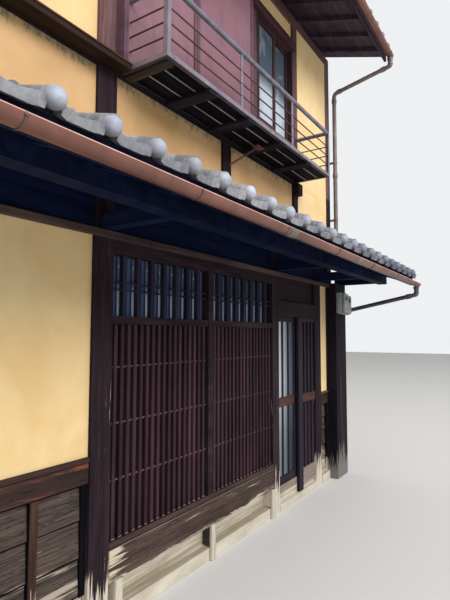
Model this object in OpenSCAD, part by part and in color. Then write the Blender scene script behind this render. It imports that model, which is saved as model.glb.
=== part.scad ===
// Machiya townhouse: a two-storey timber row house with a lattice front,
// a tiled pent roof, a small steel balcony and a shutter box.
// X runs along the street, Y into the house, Z up. The origin is on the ground
// at the centre of the plan. All sizes are in millimetres.

/* [House] */
// Width over both party walls
house_w = 5367; // [4600:1:6600]
// Depth from the front post faces to the rear post faces
house_d = 7880; // [5000:10:12000]
// Thickness of a party wall
party_t = 120; // [90:5:200]
// Height of the earthen ground floor
floor_h = 100; // [40:5:400]
// Underside of the upper floor beam
girth_z = 2940; // [2600:5:3200]
// Depth of the upper floor beam
girth_h = 120; // [90:5:200]
// Thickness of the upper floor's boards
floor_board_t = 30; // [18:1:40]
// Height of an upper floor joist
joist_h = 105; // [80:5:150]
// Width of an upper floor joist
joist_w = 74; // [50:1:120]
// Number of joists
joist_count = 8; // [5:1:12]
// Distance of the outer joists from the post faces
joist_inset = 560; // [300:10:800]
// Top of the wall plate under the rafters
plate_z = 4631; // [4000:1:5200]
// Depth of the wall plate
plate_h = 101; // [80:1:160]

/* [Posts] */
// Width from the middle of the post beside the door to the right end
door_bay_w = 1347; // [1250:1:1600]
// Width of the corner post at the left end
corner_post_w = 160; // [120:5:200]
// Width of the main post beside the lattice
main_post_w = 135; // [100:1:180]
// Width of the post between lattice and door
door_post_w = 118; // [90:1:160]
// Width of the door jamb post
jamb_w = 150; // [90:1:200]
// Width of the post at the right end
end_post_w = 129; // [90:1:200]
// Depth of every front and rear post
post_d = 120; // [90:5:180]
// Width of the upper post behind the shutter box
box_post_w = 108; // [80:1:160]
// Distance of that post's centre from the main post
box_post_x = 1194; // [1000:1:1500]
// Width of the stud left of the window
window_stud_w = 60; // [40:1:120]
// Distance of that stud's left side from the main post
window_stud_x = 1587.5; // [1400:0.5:1800]
// Width of the upper post right of the window
window_post_w = 93; // [80:1:220]
// Distance of that post's centre from the main post
window_post_x = 2410; // [2000:1:2600]

/* [Plaster] */
// Setback of the plaster from the post faces
plaster_back = 20; // [5:1:50]
// Thickness of the plaster infill
plaster_t = 70; // [50:1:100]

/* [Wainscot] */
// Top of the wainscot cap
wainscot_z = 885; // [700:5:1000]
// Thickness of the cap board
cap_h = 23; // [15:1:40]
// Height of the deep rail under the cap
wainscot_rail_h = 105; // [60:5:150]
// Height of one lapped board
lap_h = 181; // [120:1:240]
// Step of each board over the next one
lap_step = 10; // [4:1:20]
// Width of the upright battens
batten_w = 42; // [25:1:60]
// Spacing of the upright battens
batten_pitch = 303; // [250:1:500]
// How far the battens stand proud of the boards
batten_proud = 26; // [10:1:40]
// Top of the wainscot in the strip beside the door
strip_wainscot_z = 910; // [700:5:1100]

/* [Curb] */
// Height of the stone curb's front edge
curb_h = 80; // [40:5:200]
// Height of the curb's recessed back
curb_back_h = 215; // [120:5:300]
// How far the curb stands in front of the posts
curb_out = 10; // [0:1:40]
// Recess of the curb's back
curb_recess = 50; // [20:1:80]
// Depth of the curb from the post faces
curb_d = 120; // [90:5:200]

/* [Lattice bay] */
// Top of the sill strip that the bars stand on
bar_foot_z = 420; // [300:5:600]
// Height of the sill strip
sill_strip_h = 35; // [20:1:60]
// Height of the deep weathered board below it
sill_board_h = 170; // [100:5:250]
// Width of the pale stub posts under the board
stub_w = 50; // [30:1:80]
// How far the stub posts stand in front of the posts
stub_out = 34; // [12:1:60]
// Gap between a stub post and the curb behind it
stub_gap = 0.3; // [0.2:0.1:2]
// Underside of the transom
transom_z = 1557; // [1300:1:1800]
// Height of the transom
transom_h = 43; // [25:1:80]
// Underside of the lattice head
lattice_head_z = 1940; // [1700:5:2100]
// Width of the mullion in the middle
mullion_w = 56; // [40:1:90]
// Depth of the lattice frame's members
lattice_frame_d = 60; // [40:1:90]
// Setback of the head rail of the lattice
lattice_head_back = 2; // [0:0.5:10]
// Setback of the transom
transom_back = 4; // [0:0.5:12]
// Setback of the bars
bar_back = 12; // [4:0.5:24]
// Width of a lattice bar
bar_w = 25; // [15:1:40]
// Depth of a lattice bar
bar_d = 30; // [20:1:45]
// Bars in each lower panel
bar_count = 17; // [10:1:24]
// Heights of the rails threaded through the lower bars
thread_z = [725, 1024, 1324];
// Height of a threaded rail
thread_h = 10; // [6:1:20]
// Depth of a threaded rail
thread_d = 12; // [6:1:20]
// Width of an upper lattice bar
upper_bar_w = 32; // [20:1:60]
// Bars in each upper panel
upper_bar_count = 7; // [4:1:12]
// Heights of the two thin rails in the upper lattice
upper_thread_z = [1748, 1786];
// Thickness of window glass
glass_t = 4; // [3:1:8]

/* [Head batten] */
// Underside of the batten that runs over every bay
head_z = 2013; // [1900:1:2200]
// Height of the batten
head_h = 39; // [25:1:80]
// How far the batten stands out
head_out = 30; // [15:1:60]
// Setback of the dark boards above the batten
frieze_back = 8; // [0:1:30]

/* [Door] */
// Clear width between the door posts
door_w = 810; // [700:5:1200]
// Underside of the door lintel
lintel_z = 1665; // [1600:5:2000]
// Height of the lintel board
lintel_h = 135; // [80:5:200]
// Top of the wooden threshold
threshold_z = 185; // [60:5:260]
// Height of the threshold
threshold_h = 65; // [40:5:120]
// Height of the stone step
step_h = 45; // [20:5:150]
// Distance of the door's fixed mullion from the door post
door_mullion_x = 411; // [350:1:500]
// Width of that mullion
door_mullion_w = 90; // [50:1:120]
// Depth of that mullion
door_mullion_d = 30; // [20:1:30]
// Width of the sliding leaf
leaf_w = 430; // [400:1:480]
// Thickness of the sliding leaf
leaf_t = 30; // [24:1:36]
// Setback of the leaf's front from the post faces
leaf_back = 40; // [36:1:60]
// Play between the leaf and its grooves, posts and lintel
leaf_play = 5; // [5:1:10]
// Running gap between the leaf's foot and the bottom of its groove
leaf_seat = 0.3; // [0.2:0.1:2]
// Depth of the groove in the threshold
sill_groove = 10; // [6:1:20]
// Depth of the groove in the lintel
lintel_groove = 20; // [12:1:30]
// Width of the leaf's stiles
stile_w = 50; // [35:1:80]
// Height of the leaf's mid rail
mid_rail_h = 80; // [40:5:120]
// Underside of the mid rail
mid_rail_z = 860; // [700:5:1000]
// Width of the bars in the leaf
leaf_bar_w = 25; // [15:1:40]
// Bars in the leaf
leaf_bars = 2; // [2:1:6]
// Bars in the fixed panel beside it
side_bars = 3; // [2:1:6]

/* [Pilaster] */
// Width of the dark timber pilaster
pilaster_w = 306; // [200:1:400]
// How far the pilaster stands in front of the posts
pilaster_out = 95; // [50:5:200]

/* [Meter boxes] */
// Width of a meter box
meter_w = 128; // [80:1:200]
// Height of a meter box
meter_h = 225; // [150:5:300]
// Depth of a meter box
meter_d = 95; // [60:1:140]
// Underside of the meter boxes
meter_z = 1730; // [1500:5:1900]

/* [Pent roof] */
// Top of the roof boards at the wall
pent_z = 2385; // [2300:1:2600]
// Rise of the pent roof for each millimetre of run
pent_slope = 0.35; // [0.2:0.01:0.5]
// Overhang of the pent roof's boards
pent_out = 800; // [600:5:1000]
// How far the pent roof passes the house at the right
pent_past = 283; // [0:1:400]
// Thickness of the roof boards
deck_t = 24; // [15:1:40]
// Height of a rafter
rafter_h = 45; // [40:1:90]
// Width of a rafter
rafter_w = 42; // [30:1:60]
// Spacing of the rafters
rafter_pitch = 303; // [250:1:500]
// Height of the fascia under the tile edge
fascia_h = 75; // [50:1:120]
// Thickness of the fascia
fascia_t = 22; // [15:1:40]
// Height of the beam in the wall behind the pent roof
ledger_h = 100; // [80:5:140]
// Distance of the eaves purlin from the wall
purlin_out = 485; // [300:5:700]
// Width and height of the eaves purlin
purlin_w = 90; // [60:1:120]
// Width of the arms that carry the purlin
arm_w = 75; // [50:1:120]

/* [Tiles] */
// Spacing of the tile rolls
tile_pitch = 209; // [180:1:300]
// Distance of the first roll from the left end
roll_first = 235; // [50:1:300]
// Gap between the roof boards and the tiles laid on them
tile_seat = 0.3; // [0.2:0.1:2]
// Radius of a tile roll and its round eaves end
roll_r = 39; // [30:1:60]
// Thickness of the tiles with their bed
tile_t = 55; // [30:1:80]
// Height of a roll's centre over the roof boards
roll_lift = 62; // [40:1:90]
// How far the tiles pass the boards at the eaves
tile_past = 25; // [10:1:60]

/* [Gutters] */
// Inner radius of a half-round gutter
gutter_r = 31; // [25:1:80]
// Thickness of gutter and pipe walls
gutter_t = 3; // [2:1:5]
// Height of the lower gutter's rim
gutter_rim_z = 2042; // [1900:1:2200]
// Distance of the lower gutter's centre from the wall
gutter_out = 850; // [600:5:1000]
// Spacing of the gutter hooks
hook_pitch = 740; // [500:10:1000]
// Outer radius of the downpipes
pipe_r = 22; // [20:1:60]
// Height where the lower pipe meets the pilaster
pipe_foot_z = 1760; // [1500:5:2000]
// Height of the upper gutter's rim
upper_rim_z = 4465; // [4200:5:4700]
// Height where the upper pipe reaches the wall
upper_elbow_z = 4209; // [3500:1:4300]
// Distance of the upper pipe's centre from the wall
upper_pipe_out = 73; // [40:1:120]
// Height of the upper pipe's foot
upper_pipe_foot_z = 2500; // [2480:5:2900]

/* [Ledge and balcony] */
// Underside of the ledge board
ledge_z = 2945; // [2900:1:3000]
// Thickness of the ledge board
ledge_h = 40; // [20:1:60]
// How far the ledge stands out
ledge_out = 100; // [50:5:200]
// Left end of the balcony from the main post
balcony_x = 85; // [0:1:300]
// Length of the balcony
balcony_w = 2323; // [1800:1:2600]
// How far the balcony stands out
balcony_out = 345; // [250:5:600]
// Underside of the balcony's steel frame
balcony_z = 2955; // [2900:1:3050]
// Height of the steel frame
frame_h = 28; // [20:1:60]
// Thickness of the steel angle
frame_t = 5; // [4:0.5:12]
// Width of its lower leg
frame_leg = 30; // [20:1:50]
// Width of the wooden bearers
bearer_w = 95; // [30:1:120]
// How far the bearers hang below the steel
bearer_drop = 20; // [10:1:40]
// Places of the wooden bearers as shares of the balcony's length
bearer_at = [0.191, 0.389, 0.589, 0.8045];
// Radius of the iron brace under the balcony
brace_r = 7; // [4:0.5:12]
// How far out the brace meets the balcony
brace_out = 160; // [100:5:250]
// Height of the brace's foot
brace_z = 2787; // [2650:1:2880]
// Length of the plate that holds the brace
brace_plate = 75; // [40:1:120]
// Boards in the balcony floor
deck_boards = 3; // [2:1:6]
// Gap between the floor boards
deck_gap = 12; // [6:1:30]
// Height of the top rail's centre
rail_z = 3368; // [3200:1:3600]
// Radius of the top rail
rail_r = 17; // [10:1:30]
// Heights of the thin rods
rod_z = [3070, 3154, 3240];
// Radius of a thin rod
rod_r = 5; // [3:1:8]
// Seat between a corner post and its end rods
rod_seat = 0.3; // [0.1:0.1:1]
// How far the bracket under the balcony stands out
bracket_out = 50; // [30:1:90]
// Height of that bracket
bracket_h = 106; // [60:1:160]
// Width of the corner posts
corner_w = 40; // [25:1:60]
// Width of the middle posts
mid_w = 26; // [15:1:40]

/* [Shutter box] */
// Left end of the shutter box from the main post
shutter_x = 52.5; // [0:0.5:120]
// Width of the shutter box
shutter_w = 1427; // [1000:1:1500]
// How far the shutter box stands out
shutter_out = 60; // [50:1:250]
// Top of the shutter box
shutter_z = 4420; // [4200:5:4600]
// Thickness of its boards
shutter_t = 12; // [8:1:20]
// Width of its front stiles
shutter_stile_w = 34; // [25:1:70]
// Width of the pair of stiles in the middle
shutter_mid_w = 62; // [40:1:90]
// Place of the middle stiles as a share of the box's width
shutter_mid = 0.472;
// Seat between the boards of the box
shutter_seat = 0.3; // [0.1:0.1:1]
// How far the stiles stand proud of the boards
shutter_stile_t = 6; // [3:1:12]

/* [Windows] */
// Underside of the upper window
window_z = 3306; // [3200:1:3400]
// Top of the upper window
window_head_z = 4252; // [4000:1:4400]
// Height of the window's head board
window_head_h = 78; // [40:1:100]
// How far the head board stands out
window_head_out = 35; // [20:1:60]
// Height of the window's sill
window_sill_h = 40; // [25:1:60]
// Width of the window frame
window_frame_w = 20; // [15:1:70]
// Width of the lining on the side of the shutter box
window_lining_w = 50; // [15:1:90]
// How far the head board laps over the stud
window_head_lap = 40; // [10:1:60]
// Depth of the window frame from the post faces
window_frame_d = 90; // [70:1:110]
// Setback of the rear sash from the post faces
sash_back = 50; // [40:1:60]
// Width of a sash stile
sash_w = 40; // [30:1:70]
// Height of a sash's top rail
sash_top_h = 45; // [30:1:70]
// Height of a sash's bottom rail
sash_foot_h = 60; // [40:1:90]
// Thickness of a sash
sash_t = 28; // [20:1:40]
// Plaster beside each rear window
rear_jamb_w = 101.75; // [50:0.25:400]
// Height of the rear windows
rear_window_h = 900; // [600:10:1200]
// Sill of the ground floor's rear window
rear_sill_z = 1000; // [900:10:1300]
// Sill of the upper floor's rear window
rear_upper_sill_z = 3400; // [3200:10:3600]

/* [Main roof] */
// Top of the roof boards over the front post faces
roof_z = 4700; // [4400:1:5200]
// Rise of the main roof for each millimetre of run
roof_slope = 0.32; // [0.25:0.01:0.6]
// Overhang of the main roof's boards
roof_out = 650; // [400:5:900]
// Height of the ridge stack
ridge_h = 130; // [80:5:250]
// Width of the ridge stack
ridge_w = 230; // [150:5:350]
// Radius of the round tiles on the ridge
ridge_cap_r = 75; // [50:5:100]
// Height of the ridge beam under the rafters
ridge_beam_h = 180; // [120:5:240]
// Width of the ridge beam
ridge_beam_w = 120; // [90:5:180]

/* [Hidden] */
$fn = 32;
left = -house_w / 2;
right = house_w / 2;
yf = -house_d / 2;
yr = house_d / 2;
inner_l = left + party_t;
inner_r = right - party_t;
bay = (house_w - corner_post_w / 2 - door_bay_w) / 2;
p1 = left + corner_post_w / 2 + bay;
p2 = p1 + bay;
ledger_z = pent_z - ledger_h;
bay1_x0 = left + corner_post_w;
bay1_x1 = p1 - main_post_w / 2;
bay2_x0 = p1 + main_post_w / 2;
bay2_x1 = p2 - door_post_w / 2;
door_x0 = p2 + door_post_w / 2;
door_x1 = door_x0 + door_w;
strip_x0 = door_x1 + jamb_w;
strip_x1 = right - end_post_w;
pil_x0 = strip_x1;
pil_x1 = pil_x0 + pilaster_w;
girth_top = girth_z + girth_h;
post_top = plate_z - plate_h;
head_top = head_z + head_h;
box_post_x0 = p1 + box_post_x - box_post_w / 2;
box_post_x1 = box_post_x0 + box_post_w;
stud_x0 = p1 + window_stud_x;
win_x0 = stud_x0 + window_stud_w;
win_x1 = p1 + window_post_x - window_post_w / 2;
win_post_x1 = p1 + window_post_x + window_post_w / 2;
pent_x1 = right + pent_past;
mull_x0 = door_x0 + door_mullion_x;
mull_x1 = mull_x0 + door_mullion_w;
leaf_x0 = door_x0 + leaf_play;
leaf_x1 = leaf_x0 + leaf_w;
leaf_z0 = threshold_z - sill_groove + leaf_seat;
leaf_z1 = lintel_z + lintel_groove - leaf_play;
groove_y0 = leaf_back - leaf_play;
groove_y1 = leaf_back + leaf_t + leaf_play;
ridge_y = 0;
ridge_z = roof_z + roof_slope * house_d / 2;
ledge_top = ledge_z + ledge_h;
bal_x0 = p1 + balcony_x;
bal_x1 = bal_x0 + balcony_w;
bal_top = balcony_z + frame_h;
deck_z = balcony_z + frame_t;
brace_x = bal_x0 + bearer_at[2] * balcony_w - bearer_w / 2;
shutter_foot = max(ledge_top, bal_top);
purlin_top = pent_z - pent_slope * purlin_out - deck_t - rafter_h;
purlin_foot = purlin_top - purlin_w;
rear_window_w = bay2_x1 - bay2_x0 - 2 * rear_jamb_w;
sill_board_z = bar_foot_z - sill_strip_h - sill_board_h;

wood_dark = "#3b2a26";
wood_worn = "#6f665c";
plaster_yellow = "#e2c27d";
plaster_grey = "#cfc9bb";
stone_pale = "#c9c6bd";
tile_grey = "#7d8187";
copper_paint = "#b4643f";
steel_grey = "#8b8784";
shutter_red = "#8d5a60";
glass_pale = "#a9b8bb";

// A box between two corners
module block(x0, x1, y0, y1, z0, z1) {
    translate([x0, y0, z0]) cube([x1 - x0, y1 - y0, z1 - z0]);
}

// A box measured back from the front post faces; a negative y stands out over the street
module front(x0, x1, y0, y1, z0, z1) {
    block(x0, x1, yf + y0, yf + y1, z0, z1);
}

// A box measured in from the rear post faces
module rear(x0, x1, y0, y1, z0, z1) {
    block(x0, x1, yr - y1, yr - y0, z0, z1);
}

// A profile in Y and Z drawn along X
module along_x(x0, x1) {
    translate([x0, 0, 0]) rotate([90, 0, 90]) linear_extrude(x1 - x0) children();
}

// Lapped boards: every board leans out over the one below
module lapped(x0, x1, z0, z1, back) {
    n = ceil((z1 - z0) / lap_h);
    face = [for (i = [0 : n - 1], k = [0, 1])
        [yf + 40 - (1 - k) * lap_step, min(z1, z0 + (i + k) * (z1 - z0) / n)]];
    along_x(x0, x1) polygon(concat(face, [[yf + back, z1], [yf + back, z0]]));
}

// Upright bars evenly spaced between two posts
module bars(x0, x1, n, w, y0, y1, z0, z1) {
    pitch = (x1 - x0 + w) / (n + 1);
    for (i = [1 : n]) front(x0 - w + i * pitch, x0 + i * pitch, y0, y1, z0, z1);
}

module curb_profile() {
    polygon([[yf - curb_out, 0], [yf + curb_d, 0], [yf + curb_d, curb_back_h],
        [yf + curb_recess, curb_back_h], [yf + curb_recess, curb_h + 8], [yf - curb_out, curb_h]]);
}

module curb() {
    color(stone_pale) {
        along_x(bay1_x0, bay1_x1) curb_profile();
        along_x(bay2_x0, bay2_x1) curb_profile();
        along_x(strip_x0, strip_x1) curb_profile();
        for (x = rear_bays()) rear(x[0], x[1], 0, curb_d, 0, curb_back_h);
    }
}

// The three bays of the rear wall, between its posts
function rear_bays() = [[bay1_x0, bay1_x1], [bay2_x0, bay2_x1], [door_x0, strip_x1]];

module door_step() {
    color(stone_pale) along_x(door_x0, door_x1) polygon([[yf - curb_out, 0], [yf + curb_d, 0],
        [yf + curb_d, threshold_z - threshold_h],
        [yf + door_mullion_d, threshold_z - threshold_h],
        [yf + door_mullion_d, step_h + 6], [yf, step_h + 6], [yf - curb_out, step_h]]);
}

module threshold() {
    color(wood_dark) difference() {
        front(door_x0, door_x1, door_mullion_d, curb_d - 10, threshold_z - threshold_h, threshold_z);
        front(door_x0 - 1, door_x1 + 1, groove_y0, groove_y1, threshold_z - sill_groove, threshold_z + 1);
    }
}

module ground_floor() {
    color(stone_pale) block(inner_l, inner_r, yf + curb_d, yr - curb_d, 0, floor_h);
}

module upper_floor() {
    color(wood_dark) {
        block(inner_l, inner_r, yf + post_d, yr - post_d, girth_z, girth_z + floor_board_t);
        for (i = [0 : joist_count - 1]) joist(yf + joist_inset
            + i * (house_d - 2 * joist_inset) / (joist_count - 1));
    }
}

module joist(y) {
    block(inner_l, inner_r, y - joist_w / 2, y + joist_w / 2, girth_z - joist_h, girth_z);
}

// A party wall with the gable's slopes
module party_wall(x0) {
    under = deck_t + rafter_h;
    color(plaster_grey) along_x(x0, x0 + party_t) polygon([[yf + post_d, 0], [yr - post_d, 0],
        [yr - post_d, roof_z - under + roof_slope * post_d], [ridge_y, ridge_z - under],
        [yf + post_d, roof_z - under + roof_slope * post_d]]);
}

module party_wall_left() { party_wall(left); }
module party_wall_right() { party_wall(inner_r); }

module front_posts() {
    color(wood_dark) {
        front(left, bay1_x0, 0, post_d, 0, post_top);
        front(bay1_x1, bay2_x0, 0, post_d, 0, post_top);
        front(bay2_x1, door_x0, 0, post_d, 0, ledger_z);
        front(door_x1, strip_x0, 0, post_d, 0, ledger_z);
        front(strip_x1, right, 0, post_d, 0, post_top);
        front(box_post_x0, box_post_x1, 0, post_d, pent_z, girth_z);
        front(box_post_x0, box_post_x1, 0, post_d, girth_top, post_top);
        front(stud_x0, win_x0, 0, post_d, girth_top, post_top);
        front(win_x1, win_post_x1, 0, post_d, pent_z, girth_z);
        front(win_x1, win_post_x1, 0, post_d, girth_top, post_top);
    }
}

module rear_posts() {
    color(wood_dark) {
        rear(left, bay1_x0, 0, post_d, 0, post_top);
        rear(bay1_x1, bay2_x0, 0, post_d, 0, post_top);
        rear(bay2_x1, door_x0, 0, post_d, 0, post_top);
        rear(strip_x1, right, 0, post_d, 0, post_top);
    }
}

module beams() {
    color(wood_dark) {
        front(bay1_x0, bay1_x1, 0, post_d, girth_z, girth_top);
        front(bay2_x0, strip_x1, 0, post_d, girth_z, girth_top);
        front(bay1_x0, bay1_x1, 0, post_d, ledger_z, pent_z);
        front(bay2_x0, strip_x1, 0, post_d, ledger_z, pent_z);
        front(win_x1, win_post_x1, -bracket_out, 0, girth_z - bracket_h, girth_z);
        front(left, right, 0, post_d, post_top, plate_z);
        for (x = rear_bays()) rear(x[0], x[1], 0, post_d, girth_z, girth_top);
        rear(left, right, 0, post_d, post_top, plate_z);
    }
}

module plaster(x0, x1, z0, z1) {
    front(x0, x1, plaster_back, plaster_back + plaster_t, z0, z1);
}

module plaster_lower() {
    color(plaster_yellow) {
        plaster(bay1_x0, bay1_x1, wainscot_z, head_top);
        plaster(strip_x0, strip_x1, strip_wainscot_z, head_top);
        plaster(bay1_x0, bay1_x1, pent_z, girth_z);
        plaster(bay2_x0, box_post_x0, pent_z, girth_z);
        plaster(box_post_x1, win_x1, pent_z, girth_z);
        plaster(win_post_x1, strip_x1, pent_z, girth_z);
    }
}

module plaster_upper() {
    color(plaster_yellow) {
        plaster(bay1_x0, bay1_x1, girth_top, post_top);
        plaster(bay2_x0, box_post_x0, girth_top, post_top);
        plaster(box_post_x1, stud_x0, girth_top, post_top);
        plaster(win_x0, win_x1, window_head_z + window_head_h, post_top);
        plaster(win_post_x1, strip_x1, girth_top, post_top);
    }
}

// Rear plaster of one bay and storey, with a window if it has one
module rear_plaster(x, z0, z1, sill, has_window) {
    mid = (x[0] + x[1]) / 2;
    difference() {
        rear(x[0], x[1], plaster_back, plaster_back + plaster_t, z0, z1);
        if (has_window) rear(mid - rear_window_w / 2, mid + rear_window_w / 2, 0, post_d,
            sill, sill + rear_window_h);
    }
}

module plaster_rear() {
    b = rear_bays();
    color(plaster_yellow) for (i = [0 : 2]) {
        rear_plaster(b[i], wainscot_z, girth_z, rear_sill_z, i == 1);
        rear_plaster(b[i], girth_top, post_top, rear_upper_sill_z, i == 1);
    }
}

module wainscot_bay(x0, x1, z1) {
    lapped(x0, x1, curb_back_h, z1 - cap_h - wainscot_rail_h, plaster_back + plaster_t);
    front(x0, x1, 8, plaster_back + plaster_t, z1 - cap_h - wainscot_rail_h, z1 - cap_h);
    front(x0, x1, 0, plaster_back + plaster_t, z1 - cap_h, z1);
}

module wainscot_front() {
    color(wood_worn) {
        union() {
            wainscot_bay(bay1_x0, bay1_x1, wainscot_z);
            for (x = [bay1_x1 - batten_pitch : -batten_pitch : bay1_x0 + batten_w])
                front(x - batten_w / 2, x + batten_w / 2, 40 - batten_proud, 50,
                    curb_back_h, wainscot_z - cap_h - wainscot_rail_h);
        }
        wainscot_bay(strip_x0, strip_x1, strip_wainscot_z);
    }
}

module wainscot_rear() {
    color(wood_worn) mirror([0, 1, 0]) for (x = rear_bays()) wainscot_bay(x[0], x[1], wainscot_z);
}

// The batten and the dark boards between it and the pent roof
module head_batten() {
    color(wood_dark) {
        front(bay1_x0, pil_x0, -head_out, 0, head_z, head_top);
        for (x = [[bay1_x0, bay1_x1], [bay2_x0, bay2_x1], [door_x0, door_x1], [strip_x0, strip_x1]])
            front(x[0], x[1], frieze_back, plaster_back + plaster_t, head_top, ledger_z);
    }
}

module lattice_frame() {
    mid = (bay2_x0 + bay2_x1) / 2;
    color(wood_dark) {
        front(bay2_x0, bay2_x1, 0, lattice_frame_d, bar_foot_z - sill_strip_h, bar_foot_z);
        front(bay2_x0, bay2_x1, lattice_head_back, lattice_frame_d, lattice_head_z, head_top);
        front(mid - mullion_w / 2, mid + mullion_w / 2, 0, lattice_frame_d, bar_foot_z, lattice_head_z);
        for (s = [0, 1]) front(s == 0 ? bay2_x0 : mid + mullion_w / 2,
            s == 0 ? mid - mullion_w / 2 : bay2_x1, transom_back, lattice_frame_d, transom_z, transom_z + transom_h);
    }
}

// One lower lattice panel: bars and the rails threaded through them
module lattice_panel(x0, x1) {
    color(wood_dark) union() {
        bars(x0, x1, bar_count, bar_w, bar_back, bar_back + bar_d, bar_foot_z, transom_z);
        for (z = thread_z) front(x0, x1, bar_back + (bar_d - thread_d) / 2,
            bar_back + (bar_d + thread_d) / 2, z - thread_h / 2, z + thread_h / 2);
    }
}

module lattice_left() { lattice_panel(bay2_x0, (bay2_x0 + bay2_x1 - mullion_w) / 2); }
module lattice_right() { lattice_panel((bay2_x0 + bay2_x1 + mullion_w) / 2, bay2_x1); }

module lattice_upper() {
    mid = (bay2_x0 + bay2_x1) / 2;
    color(wood_dark) for (x = [[bay2_x0, mid - mullion_w / 2], [mid + mullion_w / 2, bay2_x1]]) {
        bars(x[0], x[1], upper_bar_count, upper_bar_w, bar_back, bar_back + bar_d,
            transom_z + transom_h, lattice_head_z);
        for (z = upper_thread_z) front(x[0], x[1], bar_back + (bar_d - thread_d) / 2,
            bar_back + (bar_d + thread_d) / 2, z - thread_h / 2, z + thread_h / 2);
    }
}

module lattice_glass() {
    color(glass_pale) front(bay2_x0, bay2_x1, lattice_frame_d, lattice_frame_d + glass_t,
        bar_foot_z - sill_strip_h, head_top);
}

module sill_board() {
    mid = (bay2_x0 + bay2_x1) / 2;
    color(wood_worn) {
        front(bay2_x0, bay2_x1, -8, lattice_frame_d, sill_board_z, sill_board_z + sill_board_h);
        for (x = [bay2_x0 + stub_w, mid, bay2_x1 - stub_w]) stub_post(x - stub_w / 2);
    }
}

// A stub post that stands on the ground in front of the curb and under the board
module stub_post(x0) {
    face = yf - curb_out - stub_gap;
    back = yf + curb_recess - stub_gap;
    along_x(x0, x0 + stub_w) polygon([[yf - stub_out, 0], [face, 0], [face, curb_h + stub_gap],
        [back, curb_h + 8 + stub_gap], [back, sill_board_z], [yf - stub_out, sill_board_z]]);
}

module door_header() {
    color(wood_dark) difference() {
        union() {
            front(door_x0, door_x1, 0, curb_d - 10, lintel_z, lintel_z + 55);
            front(door_x0, door_x1, 0, 30, lintel_z + 55, lintel_z + lintel_h);
            front(door_x0, door_x1, 30, 60, lintel_z + 55, head_top);
        }
        front(door_x0 - 1, door_x1 + 1, groove_y0, groove_y1, lintel_z - 1, lintel_z + lintel_groove);
    }
}

// The fixed mullion and the lattice panel that the leaf slides behind
module side_lattice() {
    foot = threshold_z - 95;
    color(wood_dark) {
        front(mull_x0, mull_x1, 0, door_mullion_d, step_h + 6, lintel_z);
        front(mull_x1, door_x1, 4, door_mullion_d, foot, threshold_z + 60);
        front(mull_x1, door_x1, 4, door_mullion_d, mid_rail_z, mid_rail_z + mid_rail_h);
        front(mull_x1, door_x1, 4, door_mullion_d, lintel_z - 40, lintel_z);
        front(mull_x1, door_x1, 22, door_mullion_d, threshold_z + 60, mid_rail_z);
        front(mull_x1, door_x1, 22, door_mullion_d, mid_rail_z + mid_rail_h, lintel_z - 40);
        bars(mull_x1, door_x1, side_bars, leaf_bar_w, 6, 22, threshold_z + 60, mid_rail_z);
        bars(mull_x1, door_x1, side_bars, leaf_bar_w, 6, 22, mid_rail_z + mid_rail_h, lintel_z - 40);
    }
}

module door_leaf() {
    y0 = leaf_back;
    y1 = leaf_back + leaf_t;
    color(wood_dark) union() {
        difference() {
            front(leaf_x0, leaf_x1, y0, y1, leaf_z0, leaf_z1);
            front(leaf_x0 + stile_w, leaf_x1 - stile_w, y0 - 1, y1 + 1, leaf_z0 + 75, mid_rail_z);
            front(leaf_x0 + stile_w, leaf_x1 - stile_w, y0 - 1, y1 + 1,
                mid_rail_z + mid_rail_h, leaf_z1 - 60);
        }
        bars(leaf_x0 + stile_w, leaf_x1 - stile_w, leaf_bars, leaf_bar_w, y0, y0 + 12,
            leaf_z0 + 75, mid_rail_z);
        bars(leaf_x0 + stile_w, leaf_x1 - stile_w, leaf_bars, leaf_bar_w, y0, y0 + 12,
            mid_rail_z + mid_rail_h, leaf_z1 - 60);
    }
}

module door_glass() {
    color(glass_pale) {
        front(leaf_x0 + stile_w, leaf_x1 - stile_w, leaf_back + 12, leaf_back + 12 + glass_t,
            leaf_z0 + 75, mid_rail_z);
        front(leaf_x0 + stile_w, leaf_x1 - stile_w, leaf_back + 12, leaf_back + 12 + glass_t,
            mid_rail_z + mid_rail_h, leaf_z1 - 60);
    }
}

module pilaster() {
    color(wood_dark) union() {
        front(pil_x0, pil_x1, -pilaster_out, 0, 0, purlin_foot);
        front(right, pil_x1, 0, post_d, 0, purlin_foot);
    }
}

module meter_boxes() {
    color(stone_pale) for (k = [0, 1]) front(pil_x0 + 14 + k * (meter_w + 16),
        pil_x0 + 14 + k * (meter_w + 16) + meter_w,
        -pilaster_out - meter_d + k * 15, -pilaster_out, meter_z - k * 8, meter_z + meter_h - k * 14);
}

// Height of the pent roof's board top at a distance from the wall
function pent_top(out) = pent_z - pent_slope * out;

module lower_roof_frame() {
    x0 = left;
    n = floor((pent_x1 - x0 - rafter_w) / rafter_pitch);
    tip = pent_out - fascia_t;
    color(wood_dark) union() {
        along_x(x0, pent_x1) polygon([[yf, pent_top(0)], [yf - pent_out, pent_top(pent_out)],
            [yf - pent_out, pent_top(pent_out) - fascia_h], [yf - tip, pent_top(pent_out) - fascia_h],
            [yf - tip, pent_top(tip) - deck_t], [yf, pent_top(0) - deck_t]]);
        for (i = [0 : n]) along_x(x0 + i * rafter_pitch, x0 + i * rafter_pitch + rafter_w)
            polygon([[yf, pent_top(0) - deck_t / 2], [yf - tip, pent_top(tip) - deck_t / 2],
                [yf - tip, pent_top(tip) - deck_t - rafter_h], [yf, pent_top(0) - deck_t - rafter_h]]);
        purlin();
        for (x = [left + arm_w / 2, p1, p2, door_x1 + jamb_w / 2, pil_x1 - arm_w / 2]) arm(x);
    }
}

module purlin() {
    front(left, pent_x1, -purlin_out - purlin_w / 2, -purlin_out + purlin_w / 2,
        purlin_foot, purlin_top + 4);
}

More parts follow.
